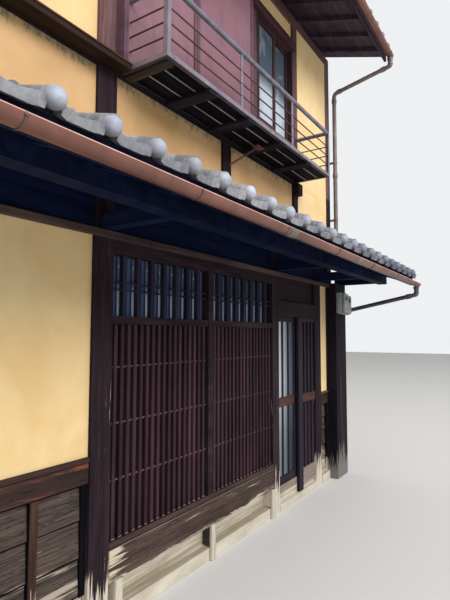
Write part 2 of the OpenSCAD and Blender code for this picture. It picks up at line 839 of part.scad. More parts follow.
module arm(x) {
    front(x - arm_w / 2, x + arm_w / 2, -purlin_out, 0, purlin_foot, purlin_top - 10);
}

// Tiles on one slope: a bed with a roll every pitch and a round end at the eaves.
// The slope starts at the eaves edge and rises along +Y from there.
module tile_slope(x0, x1, run, slope, edge_z) {
    n = floor((x1 - x0 - roll_first - roll_r) / tile_pitch);
    angle = atan(slope);
    length = run / cos(angle);
    translate([0, 0, edge_z]) rotate([angle, 0, 0]) union() {
        translate([x0, 0, tile_seat]) cube([x1 - x0, length, tile_t - tile_seat]);
        for (i = [0 : n]) translate([x0 + roll_first + i * tile_pitch, 0, roll_lift]) {
            rotate([-90, 0, 0]) cylinder(r = roll_r, h = length);
            sphere(r = roll_r);
        }
    }
}

module lower_tiles() {
    out = pent_out + tile_past;
    color(tile_grey) {
        difference() {
            translate([0, yf - out, 0]) tile_slope(left, pent_x1, out, pent_slope, pent_top(out));
            front(left - tile_past, pent_x1 + tile_past, 0, pent_out, pent_z - pent_out, pent_z + pent_out);
        }
    }
}

// A half-round channel with closed ends
module gutter(x0, x1, r) {
    difference() {
        rotate([0, 90, 0]) translate([0, 0, x0]) cylinder(r = r + gutter_t, h = x1 - x0);
        rotate([0, 90, 0]) translate([0, 0, x0 + gutter_t]) cylinder(r = r, h = x1 - x0 - 2 * gutter_t);
        translate([x0 - 1, -r - 10, 0]) cube([x1 - x0 + 2, 2 * r + 20, r + 10]);
    }
}

module lower_gutter() {
    n = floor((pent_x1 - left) / hook_pitch);
    start = (pent_x1 - left - n * hook_pitch) / 2;
    color(copper_paint) union() {
        translate([0, yf - gutter_out, gutter_rim_z]) gutter(left, pent_x1, gutter_r);
        for (i = [0 : n]) front(left + start + i * hook_pitch - 6, left + start + i * hook_pitch + 6,
            -gutter_out - gutter_r - gutter_t, -pent_out, gutter_rim_z, gutter_rim_z + 5);
    }
}

// A straight pipe between two points in the plane of Y and Z
module pipe(x, y0, z0, y1, z1, r) {
    length = norm([y1 - y0, z1 - z0]);
    translate([x, y0, z0]) rotate([-atan2(y1 - y0, z1 - z0), 0, 0]) cylinder(r = r, h = length);
}

module lower_downpipe() {
    x = pil_x1 + pipe_r + 8;
    y0 = yf - gutter_out;
    z0 = gutter_rim_z - gutter_r - gutter_t;
    union() {
        translate([x, y0, z0 - 70]) cylinder(r = pipe_r + 8, h = 70);
        pipe(x, y0, z0 - 60, yf - pilaster_out / 2, pipe_foot_z, pipe_r);
        translate([x, yf - pilaster_out / 2, pipe_foot_z]) sphere(r = pipe_r + 4);
        translate([pil_x1, yf - pilaster_out / 2, pipe_foot_z]) rotate([0, 90, 0])
            cylinder(r = pipe_r, h = pipe_r + 8);
    }
}

module ledge() {
    color(wood_worn) front(left, bal_x0, -ledge_out, 0, ledge_z, ledge_top);
}

// A steel angle round three sides on wooden bearers, held by one iron brace
module balcony_frame() {
    color(steel_grey) union() {
        front(bal_x0, bal_x1, -balcony_out, -balcony_out + frame_t, balcony_z, bal_top);
        front(bal_x0, bal_x1, -balcony_out, -balcony_out + frame_leg, balcony_z, deck_z);
        for (x = [[bal_x0, bal_x0 + frame_t, bal_x0 + frame_leg],
            [bal_x1 - frame_t, bal_x1, bal_x1 - frame_leg]]) {
            front(x[0], x[1], -balcony_out, 0, balcony_z, bal_top);
            front(min(x[0], x[2]), max(x[1], x[2]), -balcony_out, 0, balcony_z, deck_z);
        }
        for (f = bearer_at) bearer(bal_x0 + f * balcony_w);
        brace();
    }
}

module bearer(x) {
    x0 = x - bearer_w / 2;
    front(x0, x0 + bearer_w, -balcony_out + 2 * frame_t, 0, balcony_z - bearer_drop, balcony_z);
    front(x0, x0 + bearer_w, -balcony_out + frame_leg, 0, balcony_z, deck_z);
}

// The brace stands on the face of the post behind the shutter box
module brace() {
    foot = [box_post_x1 - 2 * brace_r, yf - brace_r, brace_z];
    top = [brace_x - brace_plate / 2, yf - brace_out, balcony_z - bearer_drop - brace_r];
    run = top - foot;
    front(brace_x - brace_plate, brace_x + frame_leg, -brace_out - frame_leg, -brace_out + frame_leg,
        balcony_z - bearer_drop - frame_t, balcony_z - bearer_drop);
    translate(foot) rotate([0, acos(run[2] / norm(run)), atan2(run[1], run[0])])
        cylinder(r = brace_r, h = norm(run));
    translate([foot[0], yf, brace_z]) rotate([90, 0, 0]) cylinder(r = 2 * brace_r, h = brace_r);
}

module balcony_deck() {
    span = balcony_out - frame_t;
    w = (span - deck_boards * deck_gap) / deck_boards;
    color(wood_worn) for (i = [0 : deck_boards - 1]) {
        y0 = -span + i * (w + deck_gap);
        front(bal_x0 + frame_t, bal_x1 - frame_t, y0, y0 + w, deck_z, bal_top);
    }
}

module balcony_rail() {
    y = yf - balcony_out + corner_w / 2;
    color(steel_grey) union() {
        for (x = [bal_x0, bal_x1 - corner_w])
            front(x, x + corner_w, -balcony_out, -balcony_out + corner_w, bal_top, rail_z);
        for (i = [1, 2]) translate([bal_x0 + i * balcony_w / 3 - mid_w / 2, y - mid_w / 2, bal_top])
            cube([mid_w, mid_w, rail_z - bal_top]);
        translate([bal_x0, y, rail_z]) rotate([0, 90, 0]) cylinder(r = rail_r, h = balcony_w);
        for (z = rod_z) translate([bal_x0, y, z]) rotate([0, 90, 0]) cylinder(r = rod_r, h = balcony_w);
    }
}

// End rails and rods, from the corner posts back to the shutter box and the window post
module balcony_returns() {
    y = yf - balcony_out + corner_w + rod_seat;
    color(steel_grey) for (x = [bal_x0 + corner_w / 2, bal_x1 - corner_w / 2]) {
        end = x < bal_x1 - corner_w ? yf - shutter_out : yf;
        translate([x, y, rail_z]) rotate([-90, 0, 0]) cylinder(r = rail_r, h = end - y);
        for (z = rod_z) translate([x, y, z]) rotate([-90, 0, 0]) cylinder(r = rod_r, h = end - y);
    }
}

// Back, foot, top and left board seated on each other, and the front with its stiles;
// the right end is open for the shutters
module shutter_box() {
    x0 = p1 + shutter_x;
    x1 = x0 + shutter_w;
    t = shutter_t;
    seat = shutter_seat;
    mid = x0 + shutter_mid * shutter_w;
    inner = -shutter_out + t + seat;
    color(shutter_red) {
        front(x0, x1, -t, 0, shutter_foot, shutter_z);
        for (z = [shutter_foot, shutter_z - t]) front(x0, x1, inner, -t - seat, z, z + t);
        front(x0, x0 + t, inner, -t - seat, shutter_foot + t + seat, shutter_z - t - seat);
        union() {
            front(x0, x1, -shutter_out, -shutter_out + t, shutter_foot, shutter_z);
            for (x = [[x0, x0 + shutter_stile_w], [mid - shutter_mid_w / 2, mid + shutter_mid_w / 2],
                [x1 - shutter_stile_w, x1]]) front(x[0], x[1],
                -shutter_out - shutter_stile_t, -shutter_out, shutter_foot, shutter_z);
        }
    }
}

module upper_window() {
    fw = window_frame_w;
    lw = window_lining_w;
    mid = sash_mid();
    color(wood_dark) union() {
        front(stud_x0 - window_head_lap, win_x0, -window_head_out, 0, window_head_z,
            window_head_z + window_head_h);
        front(win_x0, win_x1, -window_head_out, window_frame_d, window_head_z,
            window_head_z + window_head_h);
        front(win_x0, win_x1, plaster_back / 2, window_frame_d, girth_top, window_z);
        front(win_x0, win_x1, -plaster_back, window_frame_d, window_z - window_sill_h, window_z);
        front(win_x0, win_x0 + lw, 0, window_frame_d, window_z, window_head_z);
        front(win_x1 - fw, win_x1, 0, window_frame_d, window_z, window_head_z);
        sash(win_x0 + lw, mid + sash_w / 2, sash_back - sash_t);
        sash(mid - sash_w / 2, win_x1 - fw, sash_back);
    }
}

// Where the two sashes meet
function sash_mid() = (win_x0 + window_lining_w + win_x1 - window_frame_w) / 2;

// A sliding sash with one pane
module sash(x0, x1, y0) {
    difference() {
        front(x0, x1, y0, y0 + sash_t, window_z, window_head_z);
        front(x0 + sash_w, x1 - sash_w, y0 - 1, y0 + sash_t + 1, window_z + sash_foot_h,
            window_head_z - sash_top_h);
    }
}

module sash_glass(x0, x1, y0) {
    front(x0 + sash_w, x1 - sash_w, y0 + sash_t / 2, y0 + sash_t / 2 + glass_t,
        window_z + sash_foot_h, window_head_z - sash_top_h);
}

module upper_glass() {
    mid = sash_mid();
    color(glass_pale) {
        sash_glass(win_x0 + window_lining_w, mid + sash_w / 2, sash_back - sash_t);
        sash_glass(mid - sash_w / 2, win_x1 - window_frame_w, sash_back);
    }
}

// Height of the main roof's board top at a distance in front of the posts
function roof_top(out) = roof_z - roof_slope * out;

// A point of the roof's outline at a distance in front of the posts, a drop below the boards
function eave(out, drop) = [yf - out, roof_top(out) - drop];

// The same point on the rear slope
function rear_eave(out, drop) = [yr + out, roof_top(out) - drop];

// Boards of both slopes with a fascia at each eave
module roof_boards() {
    tip = roof_out - fascia_t;
    along_x(left, right) polygon([[ridge_y, ridge_z], eave(roof_out, 0), eave(roof_out, fascia_h),
        [yf - tip, roof_top(roof_out) - fascia_h], eave(tip, deck_t), [ridge_y, ridge_z - deck_t],
        rear_eave(tip, deck_t), [yr + tip, roof_top(roof_out) - fascia_h],
        rear_eave(roof_out, fascia_h), rear_eave(roof_out, 0)]);
}

// A pair of rafters let into the boards by half their thickness
module rafter_pair(x) {
    tip = roof_out - fascia_t;
    foot = deck_t + rafter_h;
    along_x(x, x + rafter_w) polygon([[ridge_y, ridge_z - deck_t / 2], eave(tip, deck_t / 2),
        eave(tip, foot), [ridge_y, ridge_z - foot], rear_eave(tip, foot), rear_eave(tip, deck_t / 2)]);
}

module upper_roof_frame() {
    top = ridge_z - deck_t - rafter_h;
    n = floor((house_w - rafter_w) / rafter_pitch);
    color(wood_dark) union() {
        roof_boards();
        for (i = [0 : n]) rafter_pair(left + i * rafter_pitch);
        block(inner_l, inner_r, -ridge_beam_w / 2, ridge_beam_w / 2, top - ridge_beam_h, top + 2);
    }
}

module upper_tile_slope() {
    out = roof_out + tile_past;
    difference() {
        translate([0, yf - out, 0]) tile_slope(left, right, out + house_d / 2, roof_slope, roof_top(out));
        block(left - 10, right + 10, -ridge_w / 2, yr, ridge_z - house_d / 2, ridge_z + house_d / 2);
    }
}

module upper_tiles() {
    color(tile_grey) {
        upper_tile_slope();
        mirror([0, 1, 0]) upper_tile_slope();
    }
}

// The ridge stack sits astride both slopes and carries a round cap
module ridge() {
    half = ridge_w / 2;
    color(tile_grey) union() {
        along_x(left, right) polygon([[-half, ridge_z - roof_slope * half], [0, ridge_z],
            [half, ridge_z - roof_slope * half], [half, ridge_z + ridge_h], [-half, ridge_z + ridge_h]]);
        translate([left, 0, ridge_z + ridge_h]) rotate([0, 90, 0]) cylinder(r = ridge_cap_r, h = house_w);
    }
}

module upper_gutter() {
    out = roof_out + 45;
    n = floor((house_w - gutter_r) / hook_pitch);
    start = (house_w - n * hook_pitch) / 2;
    color(copper_paint) for (s = [0, 1]) mirror([0, s, 0]) union() {
        translate([0, yf - out, upper_rim_z]) gutter(left, right, gutter_r);
        for (i = [0 : n]) front(left + start + i * hook_pitch - 6, left + start + i * hook_pitch + 6,
            -out - gutter_r - gutter_t, -roof_out, upper_rim_z, upper_rim_z + 5);
    }
}

module upper_downpipe() {
    x = right - pipe_r;
    y0 = yf - roof_out - 45;
    z0 = upper_rim_z - gutter_r - gutter_t;
    y1 = yf - upper_pipe_out;
    rise = upper_elbow_z - upper_pipe_foot_z;
    union() {
        translate([x, y0, z0 - 70]) cylinder(r = pipe_r + 8, h = 70);
        pipe(x, y0, z0 - 60, y1, upper_elbow_z, pipe_r);
        translate([x, y1, upper_elbow_z]) sphere(r = pipe_r + 4);
        translate([x, y1, upper_pipe_foot_z]) cylinder(r = pipe_r, h = rise);
        for (f = [0.15, 0.53]) translate([x - 8, y1, upper_pipe_foot_z + f * rise])
            cube([16, upper_pipe_out, 22]);
    }
}

module downpipes() {
    color(steel_grey) {
        lower_downpipe();
        upper_downpipe();
    }
}

// Frame, sashes and sill of one rear window, drawn at the front and mirrored
module rear_window(sill) {
    mid = (bay2_x0 + bay2_x1) / 2;
    x0 = mid - rear_window_w / 2;
    x1 = mid + rear_window_w / 2;
    for (x = [[x0, mid + sash_w / 2], [mid - sash_w / 2, x1]]) {
        back = x[0] == x0 ? 54 : 26;
        difference() {
            front(x[0], x[1], back, back + sash_t, sill, sill + rear_window_h);
            front(x[0] + sash_w, x[1] - sash_w, back - 1, back + sash_t + 1,
                sill + sash_w, sill + rear_window_h - sash_w);
        }
    }
}

module rear_windows() {
    color(wood_dark) mirror([0, 1, 0]) {
        rear_window(rear_sill_z);
        rear_window(rear_upper_sill_z);
    }
}

module rear_glass() {
    mid = (bay2_x0 + bay2_x1) / 2;
    x0 = mid - rear_window_w / 2;
    x1 = mid + rear_window_w / 2;
    color(glass_pale) mirror([0, 1, 0]) for (sill = [rear_sill_z, rear_upper_sill_z])
        for (x = [[x0, mid + sash_w / 2, 66], [mid - sash_w / 2, x1, 38]])
            front(x[0] + sash_w, x[1] - sash_w, x[2], x[2] + glass_t, sill + sash_w,
                sill + rear_window_h - sash_w);
}

curb();
door_step();
threshold();
ground_floor();
upper_floor();
party_wall_left();
party_wall_right();
front_posts();
rear_posts();
beams();
plaster_lower();
plaster_upper();
plaster_rear();
wainscot_front();
wainscot_rear();
head_batten();
lattice_frame();
lattice_left();
lattice_right();
lattice_upper();
lattice_glass();
sill_board();
door_header();
side_lattice();
door_leaf();
door_glass();
pilaster();
meter_boxes();
lower_roof_frame();
lower_tiles();
lower_gutter();
downpipes();
ledge();
balcony_frame();
balcony_deck();
balcony_rail();
balcony_returns();
shutter_box();
upper_window();
upper_glass();
upper_roof_frame();
upper_tiles();
upper_gutter();
ridge();
rear_windows();
rear_glass();
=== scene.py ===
"""Machiya townhouse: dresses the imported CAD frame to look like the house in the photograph.

Everything is in metres in the CAD's own frame: X along the street, Y into the house, Z up.
"""

import logging
import math
import random
from dataclasses import dataclass
from enum import Enum

import bmesh
import bpy
from mathutils import Matrix, Vector


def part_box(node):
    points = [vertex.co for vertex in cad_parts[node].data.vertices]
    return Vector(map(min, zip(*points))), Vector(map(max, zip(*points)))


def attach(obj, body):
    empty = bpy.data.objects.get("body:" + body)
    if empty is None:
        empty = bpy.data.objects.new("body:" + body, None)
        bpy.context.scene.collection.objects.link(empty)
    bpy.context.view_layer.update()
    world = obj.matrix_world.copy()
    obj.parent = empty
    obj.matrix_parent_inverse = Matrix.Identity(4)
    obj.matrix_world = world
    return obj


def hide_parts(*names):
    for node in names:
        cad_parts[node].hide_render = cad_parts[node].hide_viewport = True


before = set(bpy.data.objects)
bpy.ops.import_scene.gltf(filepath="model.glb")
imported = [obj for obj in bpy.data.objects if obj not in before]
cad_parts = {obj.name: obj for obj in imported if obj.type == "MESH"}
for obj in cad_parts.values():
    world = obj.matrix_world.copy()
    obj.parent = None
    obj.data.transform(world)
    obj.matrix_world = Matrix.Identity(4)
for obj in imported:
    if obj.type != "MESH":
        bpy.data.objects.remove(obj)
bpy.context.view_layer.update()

logging.basicConfig(level=logging.INFO, format="%(levelname)s %(message)s")
log = logging.getLogger("townhouse")

HOUSE = "house"
DOOR = "door"
# Angle between two faces above which their edge stays sharp
SHARP = math.radians(40)
# Y of the front post faces
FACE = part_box("front_posts")[0].y

Socket = bpy.types.NodeSocket
Triple = tuple[float, float, float]
Span = tuple[float, float]
EVEN: Triple = (1.0, 1.0, 1.0)
# Millimetres in a metre
MM = 1000
# Half the height over which one finish turns into the next
EDGE = 0.02


class Axis(Enum):
    """Direction that a grain or a seam runs in, in the CAD frame."""

    X = 0
    Y = 1
    Z = 2


def linear(hex_colour: str) -> tuple[float, float, float, float]:
    """Turns an sRGB hex colour into the linear colour that a shader takes.

    Args:
        hex_colour: Six hex digits with or without the leading hash.

    Returns:
        Linear red, green and blue with an alpha of 1.
    """
    digits = hex_colour.lstrip("#")
    channels = [int(digits[i : i + 2], 16) / 255 for i in (0, 2, 4)]
    lin = [c / 12.92 if c <= 0.04045 else ((c + 0.055) / 1.055) ** 2.4 for c in channels]
    return (lin[0], lin[1], lin[2], 1.0)


def add_node(
    tree: bpy.types.NodeTree, kind: str, settings: dict | None = None, inputs: dict | None = None
) -> bpy.types.Node:
    """Adds one node.

    Args:
        tree: Node tree to add to.
        kind: Node type name without its "ShaderNode" prefix.
        settings: Attribute names with their values.
        inputs: Input names or numbers, each with a value, a hex colour or the socket that feeds it.

    Returns:
        The new node.
    """
    node = tree.nodes.new("ShaderNode" + kind)
    for key, value in (settings or {}).items():
        setattr(node, key, value)
    for key, value in (inputs or {}).items():
        if isinstance(value, Socket):
            tree.links.new(value, node.inputs[key])
        else:
            node.inputs[key].default_value = linear(value) if isinstance(value, str) else value
    return node


class Surface:
    """The node tree of one material, with the few moves that every finish makes in it."""

    def __init__(self, name: str) -> None:
        """Makes an empty node material.

        Args:
            name: Name of the material.
        """
        self.material = bpy.data.materials.new(name)
        self.material.use_nodes = True
        self.tree = self.material.node_tree
        self.shader = self.tree.nodes["Principled BSDF"]

    def place(self, stretch: Triple = EVEN) -> Socket:
        """Gives the house's own coordinates, in metres times a scale along X, Y and Z."""
        coords = add_node(self.tree, "TexCoord").outputs["Object"]
        return add_node(self.tree, "Mapping", {}, {"Scale": stretch, "Vector": coords}).outputs["Vector"]

    def axis(self, axis: Axis) -> Socket:
        """Gives one of the house's own coordinates, in metres; Z is the height over the ground."""
        return add_node(self.tree, "SeparateXYZ", {}, {"Vector": self.place()}).outputs[axis.value]

    def noise(
        self, scale: float, detail: float, roughness: float, warp: float = 0.0, stretch: Triple = EVEN
    ) -> Socket:
        """Adds a noise texture.

        Args:
            scale: Cells for each metre.
            detail: Octaves.
            roughness: Strength of the finer octaves.
            warp: Distortion of the pattern.
            stretch: Further scale along X, Y and Z.

        Returns:
            The noise value between 0 and 1.
        """
        return add_node(self.tree, "TexNoise", {}, {
            "Scale": scale, "Detail": detail, "Roughness": roughness, "Distortion": warp,
            "Vector": self.place(stretch)}).outputs["Fac"]

    def single(self, dimensions: str, where: str, place: Socket) -> Socket:
        """Gives each cell, told by its whole number or numbers, its own value from 0 to 1."""
        settings = {"noise_dimensions": dimensions}
        return add_node(self.tree, "TexWhiteNoise", settings, {where: place}).outputs["Value"]

    def math(self, operation: str, *values: Socket | float) -> Socket:
        """Does one sum, by Blender's name for it, on values in the node's order."""
        return add_node(self.tree, "Math", {"operation": operation}, dict(enumerate(values))).outputs[0]

    def times(self, first: Socket, second: Socket | float) -> Socket:
        """Multiplies a value by another value or by a number."""
        return self.math("MULTIPLY", first, second)

    def span(self, value: Socket, source: Span, target: Span) -> Socket:
        """Maps a span of values to another in a straight line that stays in the target."""
        return add_node(self.tree, "MapRange", {}, {
            "Value": value, "From Min": source[0], "From Max": source[1],
            "To Min": target[0], "To Max": target[1]}).outputs["Result"]

    def mask(self, value: Socket, low: float, high: float) -> Socket:
        """Turns a value into a soft mask: 0 at low, 1 at high, which may lie below low."""
        return add_node(self.tree, "MapRange", {"interpolation_type": "SMOOTHSTEP"}, {
            "Value": value, "From Min": low, "From Max": high}).outputs["Result"]

    def ramp(self, factor: Socket, *stops: tuple[float, str]) -> Socket:
        """Maps a factor to colours.

        Args:
            factor: Socket between 0 and 1.
            stops: Positions with sRGB hex colours, in rising order.

        Returns:
            The colour socket.
        """
        node = add_node(self.tree, "ValToRGB", {}, {"Fac": factor})
        elements = node.color_ramp.elements
        while len(elements) < len(stops):
            elements.new(0.5)
        for element, (position, colour) in zip(elements, stops):
            element.position = position
            element.color = linear(colour)
        return node.outputs["Color"]

    def mix(
        self, factor: Socket | float, first: Socket | str, second: Socket | str, blend: str = "MIX"
    ) -> Socket:
        """Mixes two colours, each a socket or in hex; the factor is the second one's share."""
        settings = {"data_type": "RGBA", "blend_type": blend}
        return add_node(self.tree, "Mix", settings, {0: factor, 6: first, 7: second}).outputs[2]

    def tinted(self, factor: Socket, colour: Socket, tint: Socket) -> Socket:
        """Multiplies a colour by a tint where a mask between 0 and 1 says so."""
        return self.mix(factor, colour, self.mix(1.0, colour, tint, "MULTIPLY"))

    def finish(
        self, colour: Socket, roughness: float, relief: Socket, depth_mm: float, strength: float,
        constants: dict[str, float],
    ) -> bpy.types.Material:
        """Feeds the shader.

        Args:
            colour: Base colour.
            roughness: Roughness.
            relief: Height pattern between 0 and 1.
            depth_mm: Real depth of the pattern.
            strength: How strongly it shows.
            constants: Other inputs of the shader with their values.

        Returns:
            The finished material.
        """
        bump = add_node(self.tree, "Bump", {}, {
            "Strength": strength, "Distance": depth_mm / MM, "Height": relief})
        self.tree.links.new(bump.outputs["Normal"], self.shader.inputs["Normal"])
        self.tree.links.new(colour, self.shader.inputs["Base Color"])
        self.shader.inputs["Roughness"].default_value = roughness
        for name, value in constants.items():
            self.shader.inputs[name].default_value = value
        return self.material


@dataclass(frozen=True)
class Finish:
    """A surface of the real house, built as one procedural material."""

    name: str

    def build(self) -> bpy.types.Material:
        """Builds the material; each finish has its own way."""
        raise NotImplementedError


@dataclass(frozen=True)
class Timber(Finish):
    """Softwood, planed or sawn, whose grain runs along one axis."""

    # Weathered softwood is dry and matt with a raised grain, so it hardly shines at all.
    deep: str
    body: str
    pale: str
    grain: Axis
    worn: str = "#b9b2a2"
    grain_mm: float = 7.0
    length_mm: float = 260.0
    # Height up to which the foot is worn, or none
    wear_top: float = 0.0
    gloss: float = 0.68
    shine: float = 0.22
    relief_mm: float = 0.8
    patch: float = 0.5
    # Width of the boards, with dark seams between them, and the axis that they are counted along
    seam_mm: float = 0.0
    seam_axis: Axis = Axis.Z
    # Colour that the wood takes above a height, with the height itself
    upper: tuple[str, str, str] | None = None
    change_z: float = 2.9
    # Pitch across which neighbouring pieces differ in tone
    piece_mm: float = 0.0
    # How strongly rain-worn pale patches cover the whole surface
    bare: float = 0.0
    bare_colour: str = "#8a5c4c"
    # How wide the dark drying cracks along the grain are, from none to open
    cracks: float = 0.0
    # Place along X where rain runs down one end, and how far it reaches
    rain_end: Span | None = None

    def stretch(self, across: float, along: float) -> Triple:
        """Gives a scale that is one number across the grain and another along it."""
        return tuple(along if axis is self.grain else across for axis in Axis)

    def fibres(self, wood: Surface, grain: Socket, streak: Socket, tones: tuple[str, str, str]) -> Socket:
        """Colours the fibres and the long streaks.

        Args:
            wood: Surface to add to.
            grain: Fine grain between 0 and 1.
            streak: Long streaks between 0 and 1.
            tones: Deep, body and pale colour.

        Returns:
            The colour socket.
        """
        fibre = wood.ramp(grain, *zip((0.28, 0.52, 0.78), tones))
        tone = wood.ramp(streak, *zip((0.34, 0.5, 0.70), tones))
        return wood.mix(0.42, fibre, tone)

    def build(self) -> bpy.types.Material:
        """Builds long grain, slow tone changes, a worn foot and seams between boards.

        Returns:
            The finished material.
        """
        wood = Surface(self.name)
        fine = self.stretch(MM / self.grain_mm, MM / self.length_mm)
        grain = wood.noise(1.0, detail=5.0, roughness=0.62, warp=0.25, stretch=fine)
        slow = wood.noise(1.7, detail=4.0, roughness=0.55)
        broad = self.stretch(9.0, 0.9)
        streak = wood.noise(1.0, detail=4.0, roughness=0.6, warp=0.6, stretch=broad)
        thread = wood.noise(1.0, detail=5.0, roughness=0.68, warp=0.5, stretch=self.stretch(34.0, 1.5))
        colour = self.fibres(wood, grain, streak, (self.deep, self.body, self.pale))
        if self.upper:
            high = wood.mask(wood.axis(Axis.Z), self.change_z - EDGE, self.change_z + EDGE)
            colour = wood.mix(high, colour, self.fibres(wood, grain, streak, self.upper))
        shade = wood.ramp(slow, (0.3, "#b4b4b4"), (0.7, "#ffffff"))
        colour = wood.mix(self.patch, colour, shade, "MULTIPLY")
        if self.piece_mm > 0:
            cell = wood.math("FLOOR", wood.times(wood.axis(self.seam_axis), MM / self.piece_mm))
            single = wood.single("1D", "W", cell)
            tone = wood.ramp(single, (0.0, "#a8a0a0"), (0.5, "#dcd8d8"), (1.0, "#ffffff"))
            colour = wood.mix(0.75, colour, tone, "MULTIPLY")
        if self.bare > 0:
            pale_edge_w = wood.mask(wood.noise(0.7, detail=5.0, roughness=0.65, warp=0.8, stretch=broad),
                               0.66 - 0.2 * self.bare, 0.74 - 0.2 * self.bare)
            colour = wood.mix(pale_edge_w, colour, wood.ramp(grain, (0.3, self.body), (0.6, self.bare_colour)))
        if self.cracks > 0:
            line = wood.math("ABSOLUTE", wood.math("SUBTRACT", thread, 0.5))
            opened = wood.mask(line, 0.016 * self.cracks, 0.005 * self.cracks)
            colour = wood.mix(opened, colour, wood.ramp(slow, (0.3, "#0d0a0a"), (0.8, self.deep)))
        if self.rain_end:
            end, reach = self.rain_end
            away = wood.math("ABSOLUTE", wood.math("SUBTRACT", wood.axis(Axis.X), end))
            near = wood.mask(away, reach, 0.0)
            washed = wood.mask(wood.math("MULTIPLY_ADD", near, 0.27, thread), 0.70, 0.76)
            colour = wood.mix(washed, colour, wood.ramp(grain, (0.3, self.pale), (0.5, self.worn)))
        if self.wear_top > 0:
            low = wood.span(wood.axis(Axis.Z), (0.0, self.wear_top), (0.36, 0.0))
            wear = wood.mask(wood.math("ADD", low, thread), 0.66, 0.73)
            colour = wood.mix(wear, colour, wood.ramp(grain, (0.25, self.pale), (0.5, self.worn)))
        height = grain
        if self.seam_mm > 0:
            # Half the board's width, so that the sum comes back to 0 at every seam
            seam = wood.mask(wood.math("PINGPONG", wood.axis(self.seam_axis), self.seam_mm / 2 / MM),
                             0.0005, 0.004)
            colour = wood.mix(seam, wood.ramp(grain, (0.0, "#0c0908"), (1.0, "#15100e")), colour)
            height = wood.times(grain, seam)
        return wood.finish(colour, self.gloss, height, self.relief_mm, 1.0,
                           {"IOR": 1.45, "Specular IOR Level": self.shine})


@dataclass(frozen=True)
class LimePlaster(Finish):
    """Earth and lime plaster, trowelled smooth, with soft blotches and rain stains."""

    # Lime plaster scatters light from a fine sandy skin, so it has almost no gloss.
    body: str
    light: str
    stain: str
    soot: str
    # Height up to which the foot is dirty, or none
    dirt_top: float = 0.0
    # Height of a beam's underside, below which the skin is torn and grey
    torn_z: float = 0.0
    torn_reach: float = 0.085
    # Place along X where the torn band stops
    torn_to: float = 1.80
    # Heights of the band over the lower roof, browned by the rain that the tiles throw up and darkened
    # further as painted shade
    band: Span | None = None
    band_body: str = "#bb925e"
    band_light: str = "#cfa877"
    blotch_mm: float = 420.0
    sand_mm: float = 2.2

    def build(self) -> bpy.types.Material:
        """Builds blotches, run marks and the trowel's fine relief.

        Returns:
            The finished material.
        """
        wall = Surface(self.name)
        blotch = wall.noise(MM / self.blotch_mm, detail=5.0, roughness=0.55, warp=0.4)
        runs = wall.noise(1.0, detail=4.0, roughness=0.6, warp=0.3, stretch=(6.0, 6.0, 0.55))
        sand = wall.noise(MM / self.sand_mm, detail=2.0, roughness=0.5)
        trowel = wall.noise(9.0, detail=4.0, roughness=0.55, warp=1.2, stretch=(1.0, 1.0, 2.4))
        height = wall.axis(Axis.Z)
        colour = wall.ramp(blotch, (0.30, self.body), (0.66, self.light))
        if self.band:
            foot, top = self.band
            inside = wall.times(wall.mask(height, foot - 0.02, foot), wall.mask(height, top + 0.01, top))
            colour = wall.mix(inside, colour, wall.ramp(
                blotch, (0.30, self.band_body), (0.66, self.band_light)))
        colour = wall.mix(wall.times(wall.mask(runs, 0.56, 0.78), 0.34), colour, self.stain)
        if self.dirt_top > 0:
            low = wall.mask(height, self.dirt_top, 0.0)
            colour = wall.mix(wall.times(low, blotch), colour,
                              wall.ramp(runs, (0.3, self.soot), (0.8, self.stain)))
        if self.torn_z > 0:
            rag = wall.noise(34.0, detail=6.0, roughness=0.72, warp=0.5, stretch=(1.0, 1.0, 0.45))
            above = wall.span(height, (self.torn_z - 2 * self.torn_reach, self.torn_z), (-0.34, 0.10))
            under = wall.times(wall.mask(height, self.torn_z + 0.03, self.torn_z + 0.02),
                               wall.mask(wall.axis(Axis.X), self.torn_to + 0.01, self.torn_to))
            torn = wall.times(under, wall.mask(wall.math("ADD", above, rag), 0.42, 0.60))
            colour = wall.mix(torn, colour, wall.ramp(rag, (0.3, "#a8986f"), (0.6, "#7d7460")))
        return wall.finish(colour, 0.86, wall.mix(0.35, trowel, sand), 1.2, 0.55, {"IOR": 1.5})


@dataclass(frozen=True)
class SmokedClayTile(Finish):
    """Smoke-fired clay roof tile, with each tile a little lighter or darker."""

    # Carbon on the fired skin gives a dull silver sheen that lichen breaks up.
    deep: str
    body: str
    pale: str
    lichen: str
    pitch: float = 0.209
    course: float = 0.235
    # Places along X between which the clay turns darker and bluish: painted shade that deepens along the roof
    shade_along: Span = (-0.6, 2.6)

    def build(self) -> bpy.types.Material:
        """Builds one tone for each tile, a mottled skin and lichen spots.

        Returns:
            The finished material.
        """
        clay = Surface(self.name)
        # The last scale is so small that tiles above each other count as one
        cells = clay.place((1 / self.pitch, 1 / self.course, 0.001))
        cell = add_node(clay.tree, "VectorMath", {"operation": "FLOOR"}, {0: cells}).outputs[0]
        mottle = clay.noise(26.0, detail=6.0, roughness=0.7, warp=0.3)
        both = clay.math("MULTIPLY_ADD", clay.single("3D", "Vector", cell), 0.28, clay.times(mottle, 0.72))
        colour = clay.ramp(both, (0.22, self.deep), (0.46, self.body), (0.74, self.pale))
        spots = clay.mask(clay.noise(75.0, detail=3.0, roughness=0.6), 0.60, 0.72)
        colour = clay.mix(clay.times(spots, 0.55), colour,
                          clay.ramp(mottle, (0.3, self.lichen), (0.8, self.pale)))
        # Bluish darkening that grows along X: painted shade
        far_shade = clay.mask(clay.axis(Axis.X), *self.shade_along)
        colour = clay.tinted(far_shade, colour, clay.ramp(mottle, (0.3, "#9096a4"), (0.7, "#b4b9c4")))
        return clay.finish(colour, 0.55, mottle, 0.8, 0.7, {"IOR": 1.55})


